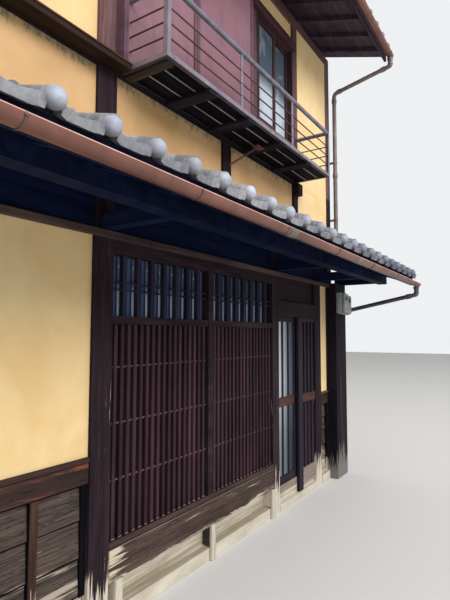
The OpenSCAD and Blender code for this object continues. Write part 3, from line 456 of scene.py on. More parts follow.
@dataclass(frozen=True)
class PaintedSteel(Finish):
    """Sheet or rolled steel under paint or zinc, dulled by weather."""

    # Old paint is chalky: a broad dull highlight with dirty runs below it.
    body: str
    light: str
    dirt: str
    rust: str
    gloss: float
    metal: float = 0.0
    rust_share: float = 0.2
    patch_mm: float = 130.0

    def build(self) -> bpy.types.Material:
        """Builds faded patches, runs of dirt and small rust spots.

        Returns:
            The finished material.
        """
        sheet = Surface(self.name)
        patch = sheet.noise(MM / self.patch_mm, detail=5.0, roughness=0.6, warp=0.2)
        fine = sheet.noise(160.0, detail=3.0, roughness=0.6)
        runs = sheet.noise(1.0, detail=4.0, roughness=0.6, stretch=(22.0, 22.0, 2.2))
        colour = sheet.ramp(patch, (0.3, self.body), (0.68, self.light))
        colour = sheet.mix(sheet.times(sheet.mask(runs, 0.52, 0.72), 0.45), colour, self.dirt)
        spots = sheet.mask(sheet.noise(48.0, detail=6.0, roughness=0.75),
                           0.78 - 0.25 * self.rust_share, 0.84 - 0.2 * self.rust_share)
        colour = sheet.mix(spots, colour, sheet.ramp(fine, (0.2, self.dirt), (0.7, self.rust)))
        return sheet.finish(colour, self.gloss, fine, 0.15, 0.5, {"Metallic": self.metal})


@dataclass(frozen=True)
class FloatGlass(Finish):
    """Window glass, clear over a dark room or frosted on its inner face."""

    # Clear glass over a dark room reads as a dark mirror; frosting reads as a pale even sheet.
    tint: str
    haze: str
    roughness: float
    waviness_mm: float = 0.3
    share: float = 0.5
    shine: float = 0.5
    # Heights between which the glass turns from haze below to tint above
    blend: Span | None = None
    # Places along X between which the haze gives way to the tint
    side: Span | None = None
    # Height under which the pane is darker: painted shade towards the floor
    dim_below: float = 0.0

    def build(self) -> bpy.types.Material:
        """Builds the glass with a faint uneven haze.

        Returns:
            The finished material.
        """
        pane = Surface(self.name)
        dust = pane.noise(5.0, detail=4.0, roughness=0.6)
        wave = pane.noise(7.0, detail=2.0, roughness=0.5)
        height = pane.axis(Axis.Z)
        colour = pane.ramp(dust, (self.share - 0.25, self.tint), (self.share + 0.25, self.haze))
        if self.blend:
            colour = pane.mix(pane.mask(height, self.blend[1], self.blend[0]),
                              pane.ramp(dust, (0.56, self.tint), (1.0, self.haze)),
                              pane.ramp(dust, (0.0, self.tint), (0.5, self.haze)))
        if self.side:
            colour = pane.mix(pane.mask(pane.axis(Axis.X), *self.side), self.haze, self.tint)
        # Darker towards the foot: painted shade
        if self.dim_below > 0:
            lower = pane.mask(height, self.dim_below + 0.25, self.dim_below - 0.45)
            colour = pane.tinted(lower, colour, pane.ramp(dust, (0.2, "#8f9c9c"), (0.8, "#a4b0ae")))
        return pane.finish(colour, self.roughness, wave, self.waviness_mm, 0.3,
                           {"IOR": 1.52, "Specular IOR Level": self.shine})


@dataclass(frozen=True)
class CutStone(Finish):
    """Sawn granite or cast mortar, pale, speckled and dirty near the ground."""

    # Mineral grains of a few millimetres give a salt-and-pepper surface with no gloss.
    body: str
    light: str
    fleck: str
    grain_mm: float = 4.0
    # Colour of the mud that lies in long level streaks, and the heights that it lies between
    mud: str | None = None
    mud_band: Span = (0.079, 0.130)

    def build(self) -> bpy.types.Material:
        """Builds the speckle, large stains, mud and a chipped relief.

        Returns:
            The finished material.
        """
        stone = Surface(self.name)
        speckle = stone.noise(MM / self.grain_mm, detail=3.0, roughness=0.7)
        stain = stone.noise(3.0, detail=6.0, roughness=0.62, warp=0.4, stretch=(1.0, 1.0, 2.0))
        colour = stone.ramp(stain, (0.3, self.body), (0.62, self.light))
        colour = stone.mix(stone.mask(speckle, 0.60, 0.70), colour, self.fleck)
        if self.mud:
            foot, top = self.mud_band
            height = stone.axis(Axis.Z)
            runs = stone.noise(1.0, detail=5.0, roughness=0.62, warp=0.5, stretch=(0.8, 20.0, 20.0))
            level = stone.times(stone.mask(height, foot - 0.005, foot + 0.005),
                                stone.mask(height, top + 0.05, top))
            muddy = stone.times(stone.times(stone.mask(runs, 0.42, 0.56), level), 0.7)
            colour = stone.mix(muddy, colour, self.mud)
        return stone.finish(colour, 0.82, stone.mix(0.4, stain, speckle), 2.0, 0.6, {"IOR": 1.5})


@dataclass(frozen=True)
class MouldedPlastic(Finish):
    """Weathered moulded plastic of a meter box or a rubber seal."""

    # UV light chalks the skin, so the moulded gloss is gone and dust sits in streaks.
    body: str
    light: str
    dirt: str
    gloss: float = 0.5

    def build(self) -> bpy.types.Material:
        """Builds an even body with dust streaks.

        Returns:
            The finished material.
        """
        case = Surface(self.name)
        streak = case.noise(1.0, detail=4.0, roughness=0.6, stretch=(30.0, 30.0, 3.0))
        cloud = case.noise(14.0, detail=4.0, roughness=0.6)
        colour = case.ramp(cloud, (0.35, self.body), (0.65, self.light))
        colour = case.mix(case.times(case.mask(streak, 0.55, 0.75), 0.5), colour, self.dirt)
        return case.finish(colour, self.gloss, cloud, 0.2, 0.4, {"IOR": 1.49})


class Palette:
    """Every finish of the house, built once."""

    def __init__(self) -> None:
        """Builds the materials; each takes its colours in the order of its class."""
        dark = ("#140f12", "#2b2025", "#4c3b42")
        brown = ("#3d292c", "#6c5051", "#977775")
        self.post = Timber(
            "stained_cedar_upright", *dark, Axis.Z, wear_top=0.46, worn="#cfc5b2", upper=brown,
            change_z=3.0, shine=0.09).build()
        self.beam = Timber(
            "stained_cedar_level", *dark, Axis.X, upper=brown, change_z=3.15, shine=0.09).build()
        self.frame = Timber("stained_cedar_frame", *dark, Axis.X, shine=0.09).build()
        self.pilaster = Timber(
            "tarred_pilaster", "#0f0c12", "#1d1822", "#362e3b", Axis.Z, wear_top=0.44, worn="#7d7770",
            bare=0.2, bare_colour="#4c3333", shine=0.08).build()
        self.lattice = Timber(
            "stained_cypress", "#15101a", "#261d28", "#443742", Axis.Z, grain_mm=5.0, patch=0.35).build()
        self.bar = Timber(
            "stained_cypress_bars", "#191015", "#38242b", "#5f4148", Axis.Z, grain_mm=4.0, patch=0.35,
            piece_mm=51.6, seam_axis=Axis.X).build()
        self.shaded_bar = Timber(
            "shaded_transom_bars", "#151420", "#2c2a3c", "#47455a", Axis.Z, grain_mm=5.0,
            shine=0.1).build()
        self.strip_facing = Timber(
            "brown_sill_strip", "#251a17", "#48362e", "#735c4f", Axis.X, grain_mm=5.0, cracks=0.5).build()
        # Rails and peg heads lighter than the bars: partly rubbed wear, partly painted highlight on their
        # fronts
        self.thread = Timber(
            "rubbed_and_highlit_thread_rail", "#2e2126", "#553f45", "#836d74", Axis.X, grain_mm=3.0).build()
        self.orange_seam = Timber(
            "sunburnt_joint_strip", "#5a2f1e", "#9a5a38", "#c08058", Axis.Z, grain_mm=6.0).build()
        self.red_wood_level = Timber(
            "reddish_cypress_level", "#2c1a18", "#50322b", "#74503f", Axis.X, grain_mm=6.0).build()
        self.sash = Timber("reddish_sash", "#1f1517", "#3e2a2b", "#644a48", Axis.Z, grain_mm=6.0).build()
        # Near-black strips in the wainscot's joints, under its rail and beside its battens: painted shadow
        self.shadow_joint = Timber(
            "painted_shadow_joint", "#07070a", "#0d0e14", "#1a1b23", Axis.Z, shine=0.05).build()
        # Navy-black frieze boards under the pent roof: soot, with the navy blue as painted shade
        self.soot_and_shade_wood = Timber(
            "soot_and_painted_shade_cedar_boards", "#080d20", "#121b39", "#222c52", Axis.X, patch=0.6, shine=0.05).build()
        # Navy-black rafters under the pent roof: soot, with the navy blue as painted shade
        self.eaves = Timber(
            "soot_and_painted_shade_cedar_rafters", "#0a0f22", "#161f3c", "#2b3557", Axis.Y, patch=0.6, shine=0.05).build()
        self.upper_eaves = Timber(
            "brown_soffit_boards", "#241d28", "#463a47", "#6b5d6c", Axis.X, seam_mm=150.0,
            seam_axis=Axis.Y, patch=0.25, shine=0.12).build()
        self.wainscot = Timber(
            "weathered_cedar_boards", "#231d1b", "#51453e", "#897a6b", Axis.X, worn="#aa9d8b",
            grain_mm=6.0, wear_top=0.50, relief_mm=1.6, patch=0.7, bare=0.1, bare_colour="#877664",
            cracks=1.0).build()
        self.worn_rail = Timber(
            "worn_wainscot_rail", "#191116", "#33231f", "#5c4038", Axis.X, grain_mm=6.0, relief_mm=1.4,
            bare=0.85, bare_colour="#7d4630", cracks=0.6).build()
        self.field_batten = Timber(
            "brown_field_batten", "#1c110d", "#3d281f", "#634637", Axis.Z, grain_mm=6.0, wear_top=0.42,
            worn="#b9a78e").build()
        self.sill = Timber(
            "weathered_sill_board", "#2b201d", "#4d3d36", "#7b6a5f", Axis.X, worn="#cbbda2", grain_mm=6.0,
            wear_top=0.295, relief_mm=1.6, bare=0.15, bare_colour="#7f6656", cracks=0.9,
            rain_end=(-0.566, 0.26)).build()
        self.ledge = Timber(
            "sunburnt_ledge_lip", "#20120c", "#4a2c1d", "#85583c", Axis.X, grain_mm=8.0,
            relief_mm=1.2).build()
        self.ledge_board = Timber(
            "shaded_ledge_board", "#150d0b", "#2b1912", "#4c2e20", Axis.X, grain_mm=8.0, bare=0.35,
            bare_colour="#8a5030", cracks=0.8).build()
        self.batten = Timber(
            "brown_head_batten", "#241a1a", "#493a38", "#766259", Axis.X, grain_mm=6.0).build()
        # Near-black boards: the darkness of their underside seen from the street is painted shade
        self.deck = Timber(
            "dark_deck_board", "#08090f", "#12131b", "#30313a", Axis.X, grain_mm=8.0, bare=0.12,
            bare_colour="#544a42", shine=0.03).build()
        self.bearer = Timber(
            "sooty_brown_bearer", "#121117", "#27232a", "#4a444b", Axis.Y, grain_mm=8.0,
            shine=0.06).build()
        self.end_bearer = Timber(
            "dusty_end_bearer", "#221d1b", "#463b37", "#75675f", Axis.Y, grain_mm=8.0).build()
        # Pale finish of the strips along the balcony boards' edges
        self.pale_board_edge = Timber(
            "pale_board_edge_strip", "#7a746d", "#b3aea7", "#dad7d2", Axis.X, grain_mm=6.0).build()
        self.head_board = Timber(
            "plum_head_board", "#2c1a1f", "#543238", "#7a525a", Axis.X, grain_mm=6.0).build()
        self.bleached = Timber(
            "bleached_stub_wood", "#968c7b", "#cfc6b3", "#e4ddcd", Axis.Z, grain_mm=5.0, length_mm=90.0,
            patch=0.3).build()
        self.bleached_level = Timber(
            "bleached_foot_board", "#55493f", "#897c6e", "#b9ae9e", Axis.X, grain_mm=7.0, patch=0.4,
            cracks=0.6).build()
        self.yellow = LimePlaster(
            "ochre_lime_plaster", "#dcbb80", "#ead09c", "#cfa668", "#9c7c4c", torn_z=2.94, torn_reach=0.06,
            band=(2.40, 2.95)).build()
        self.yellow_skin = LimePlaster(
            "ochre_plaster_over_beam", "#dcbb80", "#ead09c", "#cfa668", "#9c7c4c").build()
        self.party = LimePlaster(
            "grey_lime_plaster", "#b9b3a6", "#cfcabd", "#8f897c", "#6f6a5f", dirt_top=0.8).build()
        self.tile = SmokedClayTile("smoked_clay_tile", "#5e6166", "#85878b", "#b0b2b6", "#9d9b92").build()
        # The round ends take a paler, bluer copy of the clay
        self.tile_end = SmokedClayTile(
            "paler_clay_round_end", "#7b8088", "#9ba0aa", "#c0c5d0", "#a9aab0").build()
        self.bed = CutStone("dark_tile_bed", "#1b1a1a", "#2e2c2b", "#45423f").build()
        self.gutter = PaintedSteel(
            "copper_brown_gutter", "#623c31", "#7f5245", "#46322d", "#6f4030", 0.42, rust_share=0.1,
            patch_mm=260.0).build()
        # Pale pinkish rolled lip: painted highlight along the gutter's top edge
        self.gutter_lip = PaintedSteel(
            "highlit_gutter_lip", "#c08a74", "#dfb9a6", "#8a5f50", "#8a5a40", 0.35, rust_share=0.05,
            patch_mm=200.0).build()
        self.sleeve = PaintedSteel(
            "grey_green_sleeve", "#5a5a50", "#7b7b6e", "#3e3b34", "#6b4030", 0.45, rust_share=0.1).build()
        self.hook = PaintedSteel(
            "dark_gutter_hook", "#4b3a35", "#6d564c", "#2c2320", "#6b3a26", 0.5, rust_share=0.4).build()
        self.steel = PaintedSteel(
            "dull_balcony_steel", "#6a626e", "#8d8590", "#443c42", "#6b4030", 0.45, metal=0.1,
            rust_share=0.35).build()
        self.shaded_steel = PaintedSteel(
            "shaded_lower_leg", "#33303a", "#4a464e", "#201d22", "#5a3a2c", 0.55, rust_share=0.3).build()
        self.rail = PaintedSteel(
            "grey_top_rail", "#62616a", "#85848e", "#444146", "#6b4030", 0.40, metal=0.1,
            rust_share=0.2).build()
        self.rod = PaintedSteel(
            "dark_red_rod", "#3c2424", "#5b3835", "#241617", "#7a3f2a", 0.5, rust_share=0.4).build()
        self.pipe = PaintedSteel("brown_downpipe", "#5c504c", "#7e706a", "#3a302e", "#4d3427", 0.45).build()
        self.dark_pipe = PaintedSteel(
            "dark_grey_downpipe", "#34343a", "#55555c", "#232226", "#4d3427", 0.45).build()
        self.shutter = PaintedSteel(
            "mauve_shutter_sheet", "#744f58", "#8b646e", "#5e4249", "#6b4038", 0.6, rust_share=0.0,
            patch_mm=420.0).build()
        self.shutter_stile = PaintedSteel(
            "purple_shutter_stile", "#4a2f3b", "#6a4a58", "#2e1d26", "#6b4038", 0.55,
            rust_share=0.1).build()
        # Lattice glass: near black below the transom, partly the dark room behind and partly painted shade of
        # the bars; lighter blue above
        self.dark_glass = FloatGlass(
            "clear_glass_dark_room_painted_shade", "#4f628a", "#141d38", 0.22, shine=0.2, blend=(1.55, 1.60)).build()
        self.rear_glass = FloatGlass("clear_glass_back_rooms", "#1d262d", "#3a454b", 0.2, shine=0.3).build()
        self.pale_strip = FloatGlass(
            "frosted_transom_strip", "#5c6b80", "#aab6ca", 0.40, blend=(1.74, 1.80)).build()
        self.frosted = FloatGlass(
            "frosted_door_glass", "#454d59", "#bac0c6", 0.40, side=(1.47, 1.76), dim_below=0.9).build()
        self.upper_glass = FloatGlass(
            "hazy_window_glass", "#4b5661", "#b6c1c9", 0.20, share=0.45, shine=0.3,
            blend=(3.60, 3.80)).build()
        self.stone = CutStone("pale_granite_curb", "#b1a994", "#d1c9b5", "#9a917f", mud="#7d6e50").build()
        self.earth = CutStone("rammed_earth_floor", "#6d6558", "#8a8171", "#564f45").build()
        self.meter = MouldedPlastic("grey_meter_plastic", "#929a99", "#b3bab8", "#6f7674").build()
        self.black = MouldedPlastic("black_rubber_seal", "#16171a", "#26282b", "#3a3a3a").build()


class Mesher:
    """A closed mesh in the making, which becomes one piece on a body of the CAD."""

    def __init__(self) -> None:
        """Starts an empty mesh."""
        self.bm = bmesh.new()

    def piece(
        self, name: str, material: bpy.types.Material, slot: str,
        replaced: tuple[str, ...] = (), smooth: bool = False, body: str = HOUSE,
    ) -> None:
        """Turns the mesh into a piece that rides on a body.

        Args:
            name: Name of the piece.
            material: Finish of every face.
            slot: Material slot of the record; not used.
            replaced: CAD nodes that the piece stands for.
            smooth: Whether faces are shaded smooth across gentle edges.
            body: CAD body that carries the piece.
        """
        bmesh.ops.recalc_face_normals(self.bm, faces=self.bm.faces)
        mesh = bpy.data.meshes.new(name)
        self.bm.to_mesh(mesh)
        self.bm.free()
        mesh.materials.append(material)
        if smooth:
            mesh.shade_smooth()
            mesh.set_sharp_from_angle(angle=SHARP)
        obj = bpy.data.objects.new(name, mesh)
        bpy.context.scene.collection.objects.link(obj)
        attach(obj, body)
        if replaced:
            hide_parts(*replaced)
        log.info("%s: %d faces", name, len(mesh.polygons))

    def block(self, low: Triple, high: Triple, bevel: float = 0.0, segments: int = 1) -> None:
        """Adds a box, with its edges eased if a bevel is given.

        Args:
            low: Lowest corner.
            high: Highest corner.
            bevel: Width of the eased edge.
            segments: Steps across the eased edge.
        """
        size = [h - l for l, h in zip(low, high)]
        middle = [(l + h) / 2 for l, h in zip(low, high)]
        matrix = Matrix.Translation(middle) @ Matrix.Diagonal((*size, 1.0))
        made = bmesh.ops.create_cube(self.bm, size=1.0, matrix=matrix)["verts"]
        if bevel > 0:
            edges = list({e for v in made for e in v.link_edges})
            bmesh.ops.bevel(
                self.bm, geom=edges, offset=bevel, segments=segments, profile=0.6, affect="EDGES")

    def front(self, x: Span, y: Span, z: Span, bevel: float = 0.0015) -> None:
        """Adds an eased box whose Y is measured back from the post faces, as the CAD does."""
        self.block((x[0], FACE + y[0], z[0]), (x[1], FACE + y[1], z[1]), bevel)

    def rod(self, start: Vector, end: Vector, radius: float, sides: int) -> None:
        """Adds a capped rod between two points.

        Args:
            start: Centre of one end.
            end: Centre of the other end.
            radius: Radius of the rod.
            sides: Sides of its section.
        """
        run = end - start
        matrix = Matrix.Translation((start + end) / 2) @ run.to_track_quat("Z", "Y").to_matrix().to_4x4()
        bmesh.ops.create_cone(
            self.bm, cap_ends=True, segments=sides, radius1=radius, radius2=radius,
            depth=run.length, matrix=matrix)

    def skin(self, rings: list[list[Triple | Vector]]) -> None:
        """Joins rings of points into a closed skin.

        Args:
            rings: Rings with the same number of points, from one end to the other.
        """
        made = [[self.bm.verts.new(point) for point in ring] for ring in rings]
        for lower, upper in zip(made, made[1:]):
            for k in range(len(lower)):
                n = (k + 1) % len(lower)
                self.bm.faces.new((lower[k], lower[n], upper[n], upper[k]))
        self.bm.faces.new(made[0])
        self.bm.faces.new(list(reversed(made[-1])))

    @staticmethod
    def bend(points: list[Vector], radius: float, steps: int = 6) -> list[Vector]:
        """Rounds the inner corners of a route.

        Args:
            points: Corners of the route.
            radius: Length that each corner takes from its two legs.
            steps: Points in each bend.

        Returns:
            The rounded route.
        """
        route = [points[0]]
        for before, corner, after in zip(points, points[1:], points[2:]):
            reach = min(radius, (corner - before).length / 2.2, (after - corner).length / 2.2)
            a = corner + (before - corner).normalized() * reach
            b = corner + (after - corner).normalized() * reach
            for k in range(steps + 1):
                t = k / steps
                route.append(a * (1 - t) ** 2 + corner * 2 * t * (1 - t) + b * t * t)
        return [*route, points[-1]]

    def sweep(self, route: list[Vector], section: list[Span], up: Vector = Vector((0, 0, 1))) -> None:
        """Draws a section along a route and caps its ends.

        Args:
            route: Points of the route.
            section: Points across the route, as sideways and upward distances.
            up: Direction that the section's upward side keeps to.
        """
        rings = []
        side = None
        for i, point in enumerate(route):
            ahead = (route[min(i + 1, len(route) - 1)] - route[max(i - 1, 0)]).normalized()
            fresh = ahead.cross(up)
            # Where the route runs nearly along "up", the last side is carried on
            if fresh.length > 0.2:
                side = fresh.normalized()
            elif side is None:
                side = ahead.orthogonal().normalized()
            side = (side - ahead * side.dot(ahead)).normalized()
            top = side.cross(ahead).normalized()
            rings.append([point + side * a + top * b for a, b in section])
        self.skin(rings)

    @staticmethod
    def ring(radius: float, sides: int) -> list[Span]:
        """Gives the points of a round section with that many sides."""
        turns = [math.tau * k / sides for k in range(sides)]
        return [(radius * math.cos(turn), radius * math.sin(turn)) for turn in turns]

    def turned(self, profile: list[Span], matrix: Matrix, sides: int = 24) -> None:
        """Adds a turned form.

        Args:
            profile: Radius and place along the axis, from one end to the other.
            matrix: Place of the axis; it turns about Z.
            sides: Steps round the axis.
        """
        rings = []
        for radius, along in profile:
            points = [(0.0, 0.0)] if radius == 0 else self.ring(radius, sides)
            rings.append([self.bm.verts.new(matrix @ Vector((*point, along))) for point in points])
        for lower, upper in zip(rings, rings[1:]):
            for k in range(sides):
                a, b = lower[k % len(lower)], lower[(k + 1) % len(lower)]
                c, d = upper[(k + 1) % len(upper)], upper[k % len(upper)]
                corners = list(dict.fromkeys([a, b, c, d]))
                if len(corners) > 2:
                    self.bm.faces.new(corners)

    def rough_edge(self, low: Triple, high: Triple, steps: int, depth: float, seed: int) -> None:
        """Adds a board whose lower edge is eaten away by rain.

        Args:
            low: Lowest corner.
            high: Highest corner.
            steps: Slices along X.
            depth: Deepest bite out of the edge.
            seed: Number that picks the bites.
        """
        dice = random.Random(seed)
        rings = []
        bite = dice.random() * depth
        for i in range(steps + 1):
            x = low[0] + (high[0] - low[0]) * i / steps
            bite = min(depth, max(0.0, bite + (dice.random() - 0.5) * depth * 0.9))
            foot = low[2] + bite
            rings.append([(x, low[1], foot), (x, high[1], foot), (x, high[1], high[2]), (x, low[1], high[2])])
        self.skin(rings)


@dataclass
class Part:
    """A part of the house, built from the house's finishes."""

    palette: Palette


@dataclass
class TileSlope(Part):
    """Pan tiles laid in courses on one slope, with round ends along the eaves."""

    name: str
    node: str
    x0: float
    x1: float
    edge_y: float
    edge_z: float
    slope: float
    run: float
    facing: int = 1
    # Distance from the left side to the first roll, and least distance from the last to the right
    first: float = 0.257
    last: float = 0.039
    pitch: float = 0.209
    course: float = 0.235
    roll_r: float = 0.026
    roll_lift: float = 0.043
    pan_dip: float = 0.020
    lap: float = 0.011
    unevenness: float = 0.004
    lip: float = 0.004
    edge_h: float = 0.026
    edge_back: float = 0.070
    end_r: float = 0.034
    end_lift: float = 0.046
    bed_back: float = 0.045
    bed_z: Span = (0.001, 0.022)

    def rolls(self) -> list[float]:
        """Gives the place of every roll along the eaves."""
        count = math.floor((self.x1 - self.x0 - self.first - self.last) / self.pitch)
        return [self.x0 + self.first + i * self.pitch for i in range(count + 1)]

    def point(self, x: float, s: float, h: float) -> Vector:
        """Gives a point of the slope.

        Args:
            x: Place along the eaves.
            s: Distance up the slope from the eaves edge.
            h: Height over the roof boards, square to them.

        Returns:
            The point in the house's frame.
        """
        angle = math.atan(self.slope)
        y = s * math.cos(angle) - h * math.sin(angle)
        z = s * math.sin(angle) + h * math.cos(angle)
        return Vector((x, self.facing * (self.edge_y + y), self.edge_z + z))

    def section(self) -> list[tuple[float, float, int]]:
        """Gives the wave of the tiles over the whole width.

        Returns:
            Place, height over the boards and tile number of each point.
        """
        wave: list[tuple[float, float, int]] = []
        places = self.rolls()
        starts = [self.x0 - self.roll_r, *places]
        ends = [*places, self.x1 + self.roll_r]
        for n, (start, end) in enumerate(zip(starts, ends)):
            a, b = start + self.roll_r, end - self.roll_r
            for k in range(8):
                t = k / 8
                # The pan is deepest near its left roll, as a real pan tile is
                dip = self.pan_dip * math.sin(math.pi * t ** 0.65) ** 0.9
                wave.append((a + (b - a) * t, self.roll_lift - 0.004 - self.lip * (1 - t) - dip, n))
            if n < len(places):
                wave.append((b - 0.001, self.roll_lift - self.lip - 0.006, n))
                for k in range(9):
                    turn = math.pi * (1 - k / 8)
                    wave.append((end + self.roll_r * math.cos(turn),
                                 self.roll_lift + self.roll_r * math.sin(turn), n + 1))
        wave.append((self.x1, self.roll_lift - self.lip, len(places)))
        return wave

    def build(self) -> None:
        """Builds the courses, the drop edge, the round eaves ends and the dark bed."""
        tiles = Mesher()
        dice = random.Random(len(self.name))
        length = self.run * math.sqrt(1 + self.slope * self.slope)
        courses = max(1, round(length / self.course))
        step = length / courses
        wave = self.section()
        count = wave[-1][2] + 1
        rows: list[list[bmesh.types.BMVert]] = []

        def row(s: float, lift: list[float], drop: float) -> None:
            """Adds one line of points across the slope."""
            points = [self.point(x, s, max(0.002, h + lift[n] - drop)) for x, h, n in wave]
            ends = [self.point(x, s, 0.001) for x in (self.x0, self.x1)]
            rows.append([tiles.bm.verts.new(p) for p in (ends[0], *points, ends[1])])

        flat = [0.0] * count
        row(self.edge_back, flat, self.edge_h)
        row(0.0, flat, self.edge_h)
        for k in range(courses):
            row(k * step, [self.lap + dice.random() * self.unevenness for _ in range(count)], 0.0)
            row((k + 1) * step, flat, 0.0)
        for lower, upper in zip(rows, rows[1:]):
            for corners in zip(lower, lower[1:], upper[1:], upper):
                tiles.bm.faces.new(corners)
        tiles.piece(self.name, self.palette.tile, "roof_tile", (self.node,), True)
        ends = Mesher()
        self.add_ends(ends)
        ends.piece(self.name + "_round_ends", self.palette.tile_end, "roof_tile", (self.node,), True)
        bed = Mesher()
        low, high = self.bed_z
        outline = ((self.bed_back, low), (length, low), (length, high), (self.bed_back, high))
        bed.skin([[self.point(x, s, h) for s, h in outline] for x in (self.x0, self.x1)])
        bed.piece(self.name + "_bed", self.palette.bed, "roof_tile", (self.node,))

    def add_ends(self, mesh: Mesher) -> None:
        """Adds the bun-shaped end under every roll.

        Args:
            mesh: Mesh to add to.
        """
        r = self.end_r
        profile = [(0.0, 0.024), (r * 0.35, 0.0225), (r * 0.62, 0.018), (r * 0.84, 0.010),
                   (r * 0.96, 0.002), (r, -0.006), (r, -0.013), (r * 0.90, -0.017),
                   (r * 0.88, -0.040), (0.0, -0.040)]
        lean = Matrix.Rotation(math.pi / 2 + math.atan(self.slope), 4, "X")
        turn = lean if self.facing > 0 else Matrix.Rotation(math.pi, 4, "Z") @ lean
        for x in self.rolls():
            mesh.turned(profile, Matrix.Translation(self.point(x, 0.0, self.end_lift)) @ turn, 22)


@dataclass
class RidgeStack(Part):
    """Flat ridge tiles in stepped layers under a row of round cap tiles."""

    x0: float
    x1: float
    top: float
    half: float
    foot: float
    cap_r: float
    layers: int = 4
    inset: float = 0.010
    gap: float = 0.004
    cap_length: float = 0.27

    def build(self) -> None:
        """Builds the layers and the round caps."""
        mesh = Mesher()
        step = (self.top - self.foot) / self.layers
        for k in range(self.layers):
            inset = self.inset * k + (0.0 if k % 2 else self.gap)
            mesh.block((self.x0, -self.half + inset, self.foot + k * step),
                       (self.x1, self.half - inset, self.foot + (k + 1) * step - self.gap), 0.004)
        count = round((self.x1 - self.x0) / self.cap_length)
        width = (self.x1 - self.x0) / count
        r = self.cap_r
        profile = [(0.0, 0.0), (r - 0.002, 0.0), (r, 0.006), (r, 0.030), (r - 0.008, 0.036),
                   (r - 0.008, width), (0.0, width)]
        for i in range(count):
            turn = (Matrix.Translation((self.x0 + i * width, 0, self.top))
                    @ Matrix.Rotation(math.pi / 2, 4, "Y"))
            mesh.turned(profile, turn, 28)
        mesh.piece("ridge_tiles", self.palette.tile, "roof_tile", ("ridge",), True)


@dataclass
class Roofs(Part):
    """All tiled slopes and the ridge, placed from the CAD's own boxes."""

    lower_slope: float = 0.35
    upper_slope: float = 0.32
    past: float = 0.025
    half_ridge: float = 0.115
    cap_r: float = 0.075
    ridge_foot: float = 0.03

    def build(self) -> None:
        """Builds the pent roof, both main slopes and the ridge."""
        low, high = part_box("lower_roof_frame")
        run = FACE - low.y + self.past
        TileSlope(
            self.palette, "pent_roof_tiles", "lower_tiles", low.x, high.x, low.y - self.past,
            high.z - self.lower_slope * run, self.lower_slope, run).build()
        low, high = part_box("upper_roof_frame")
        run = (high.y - low.y) / 2 + self.past
        for facing, name in ((1, "main_roof_tiles_front"), (-1, "main_roof_tiles_rear")):
            TileSlope(
                self.palette, name, "upper_tiles", low.x, high.x, low.y - self.past,
                high.z - self.upper_slope * run, self.upper_slope, run - self.half_ridge, facing).build()
        low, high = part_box("ridge")
        RidgeStack(self.palette, low.x, high.x, high.z - self.cap_r, (high.y - low.y) / 2,
                   low.z + self.ridge_foot, self.cap_r).build()


@dataclass
class Gutter(Part):
    """A half-round gutter with a rolled lip, joint sleeves and strap hooks."""

    name: str
    node: str
    sleeves: tuple[float, ...]
    facing: int = 1
    radius: float = 0.034
    sheet: float = 0.0025
    lip: float = 0.005
    disc: float = 0.003
    sleeve_half: float = 0.035
    sleeve_out: float = 0.0022
    hook_half: float = 0.0035
    hook_out: float = 0.0030
    hook_reach: float = 0.016
    hook_pitch: float = 0.740
    hook_end: float = 0.031

    def arc(self, radius: float) -> list[Span]:
        """Gives half a circle under the rim, as distances to the front and heights over the rim."""
        turns = [math.pi * k / 14 for k in range(15)]
        return [(radius * math.cos(turn), -radius * math.sin(turn)) for turn in turns]

    def trough(self, grow: float) -> list[Span]:
        """Gives the gutter's section, grown outwards, from its front lip to its back lip and home."""
        radius = self.radius + grow
        return self.arc(radius) + self.arc(radius - self.sheet)[::-1]

    def hooks(self, x0: float, x1: float) -> list[float]:
        """Spaces the hooks between both ends as the CAD does."""
        count = math.floor((x1 - x0 - self.hook_end) / self.hook_pitch)
        start = (x1 - x0 - count * self.hook_pitch) / 2
        return [x0 + start + i * self.hook_pitch for i in range(count + 1)]

    def build(self) -> None:
        """Builds trough, lip, sleeves and hooks in the CAD gutter's place."""
        low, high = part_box(self.node)
        rim = high.z - self.lip
        face = low.y if self.facing > 0 else high.y
        middle = face + self.facing * self.radius
        node = (self.node,)

        def run(mesh: Mesher, x0: float, x1: float, section: list[Span]) -> None:
            """Draws a section between two places along X."""
            mesh.skin([[(x, middle - self.facing * a, rim + b) for a, b in section] for x in (x0, x1)])

        trough, lip, sleeves, hooks = (Mesher() for _ in range(4))
        run(trough, low.x, high.x, self.trough(0.0))
        for x in (low.x, high.x - self.disc):
            run(trough, x, x + self.disc, self.arc(self.radius))
        trough.piece(self.name, self.palette.gutter, "gutter_paint", node, True)
        y = middle - self.facing * (self.radius - self.lip)
        # The lip's pale finish is a painted highlight along the rolled edge
        lip.rod(Vector((low.x, y, rim)), Vector((high.x, y, rim)), self.lip, 10)
        lip.piece(self.name + "_lip", self.palette.gutter_lip, "gutter_paint", node, True)
        for x in self.sleeves:
            run(sleeves, x - self.sleeve_half, x + self.sleeve_half, self.trough(self.sleeve_out))
        sleeves.piece(self.name + "_sleeves", self.palette.sleeve, "gutter_paint", node, True)
        back = middle + self.facing * self.radius
        reach = back + self.facing * self.hook_reach
        turn = Matrix.Rotation(self.facing * math.pi / 2, 4, "X")
        for x in self.hooks(low.x, high.x):
            left, right = x - self.hook_half, x + self.hook_half
            run(hooks, left, right, self.trough(self.hook_out))
            hooks.turned([(0.0, 0.0), (0.006, 0.0), (0.006, 0.004), (0.003, 0.006), (0.0, 0.006)],
                         Matrix.Translation((x, face, rim - 0.006)) @ turn, 8)
            for start, end in ((y, back), (back, reach)):
                hooks.block((left, min(start, end), rim - 0.001), (right, max(start, end), rim + 0.003))
        hooks.piece(self.name + "_hooks", self.palette.hook, "gutter_paint", node, True)


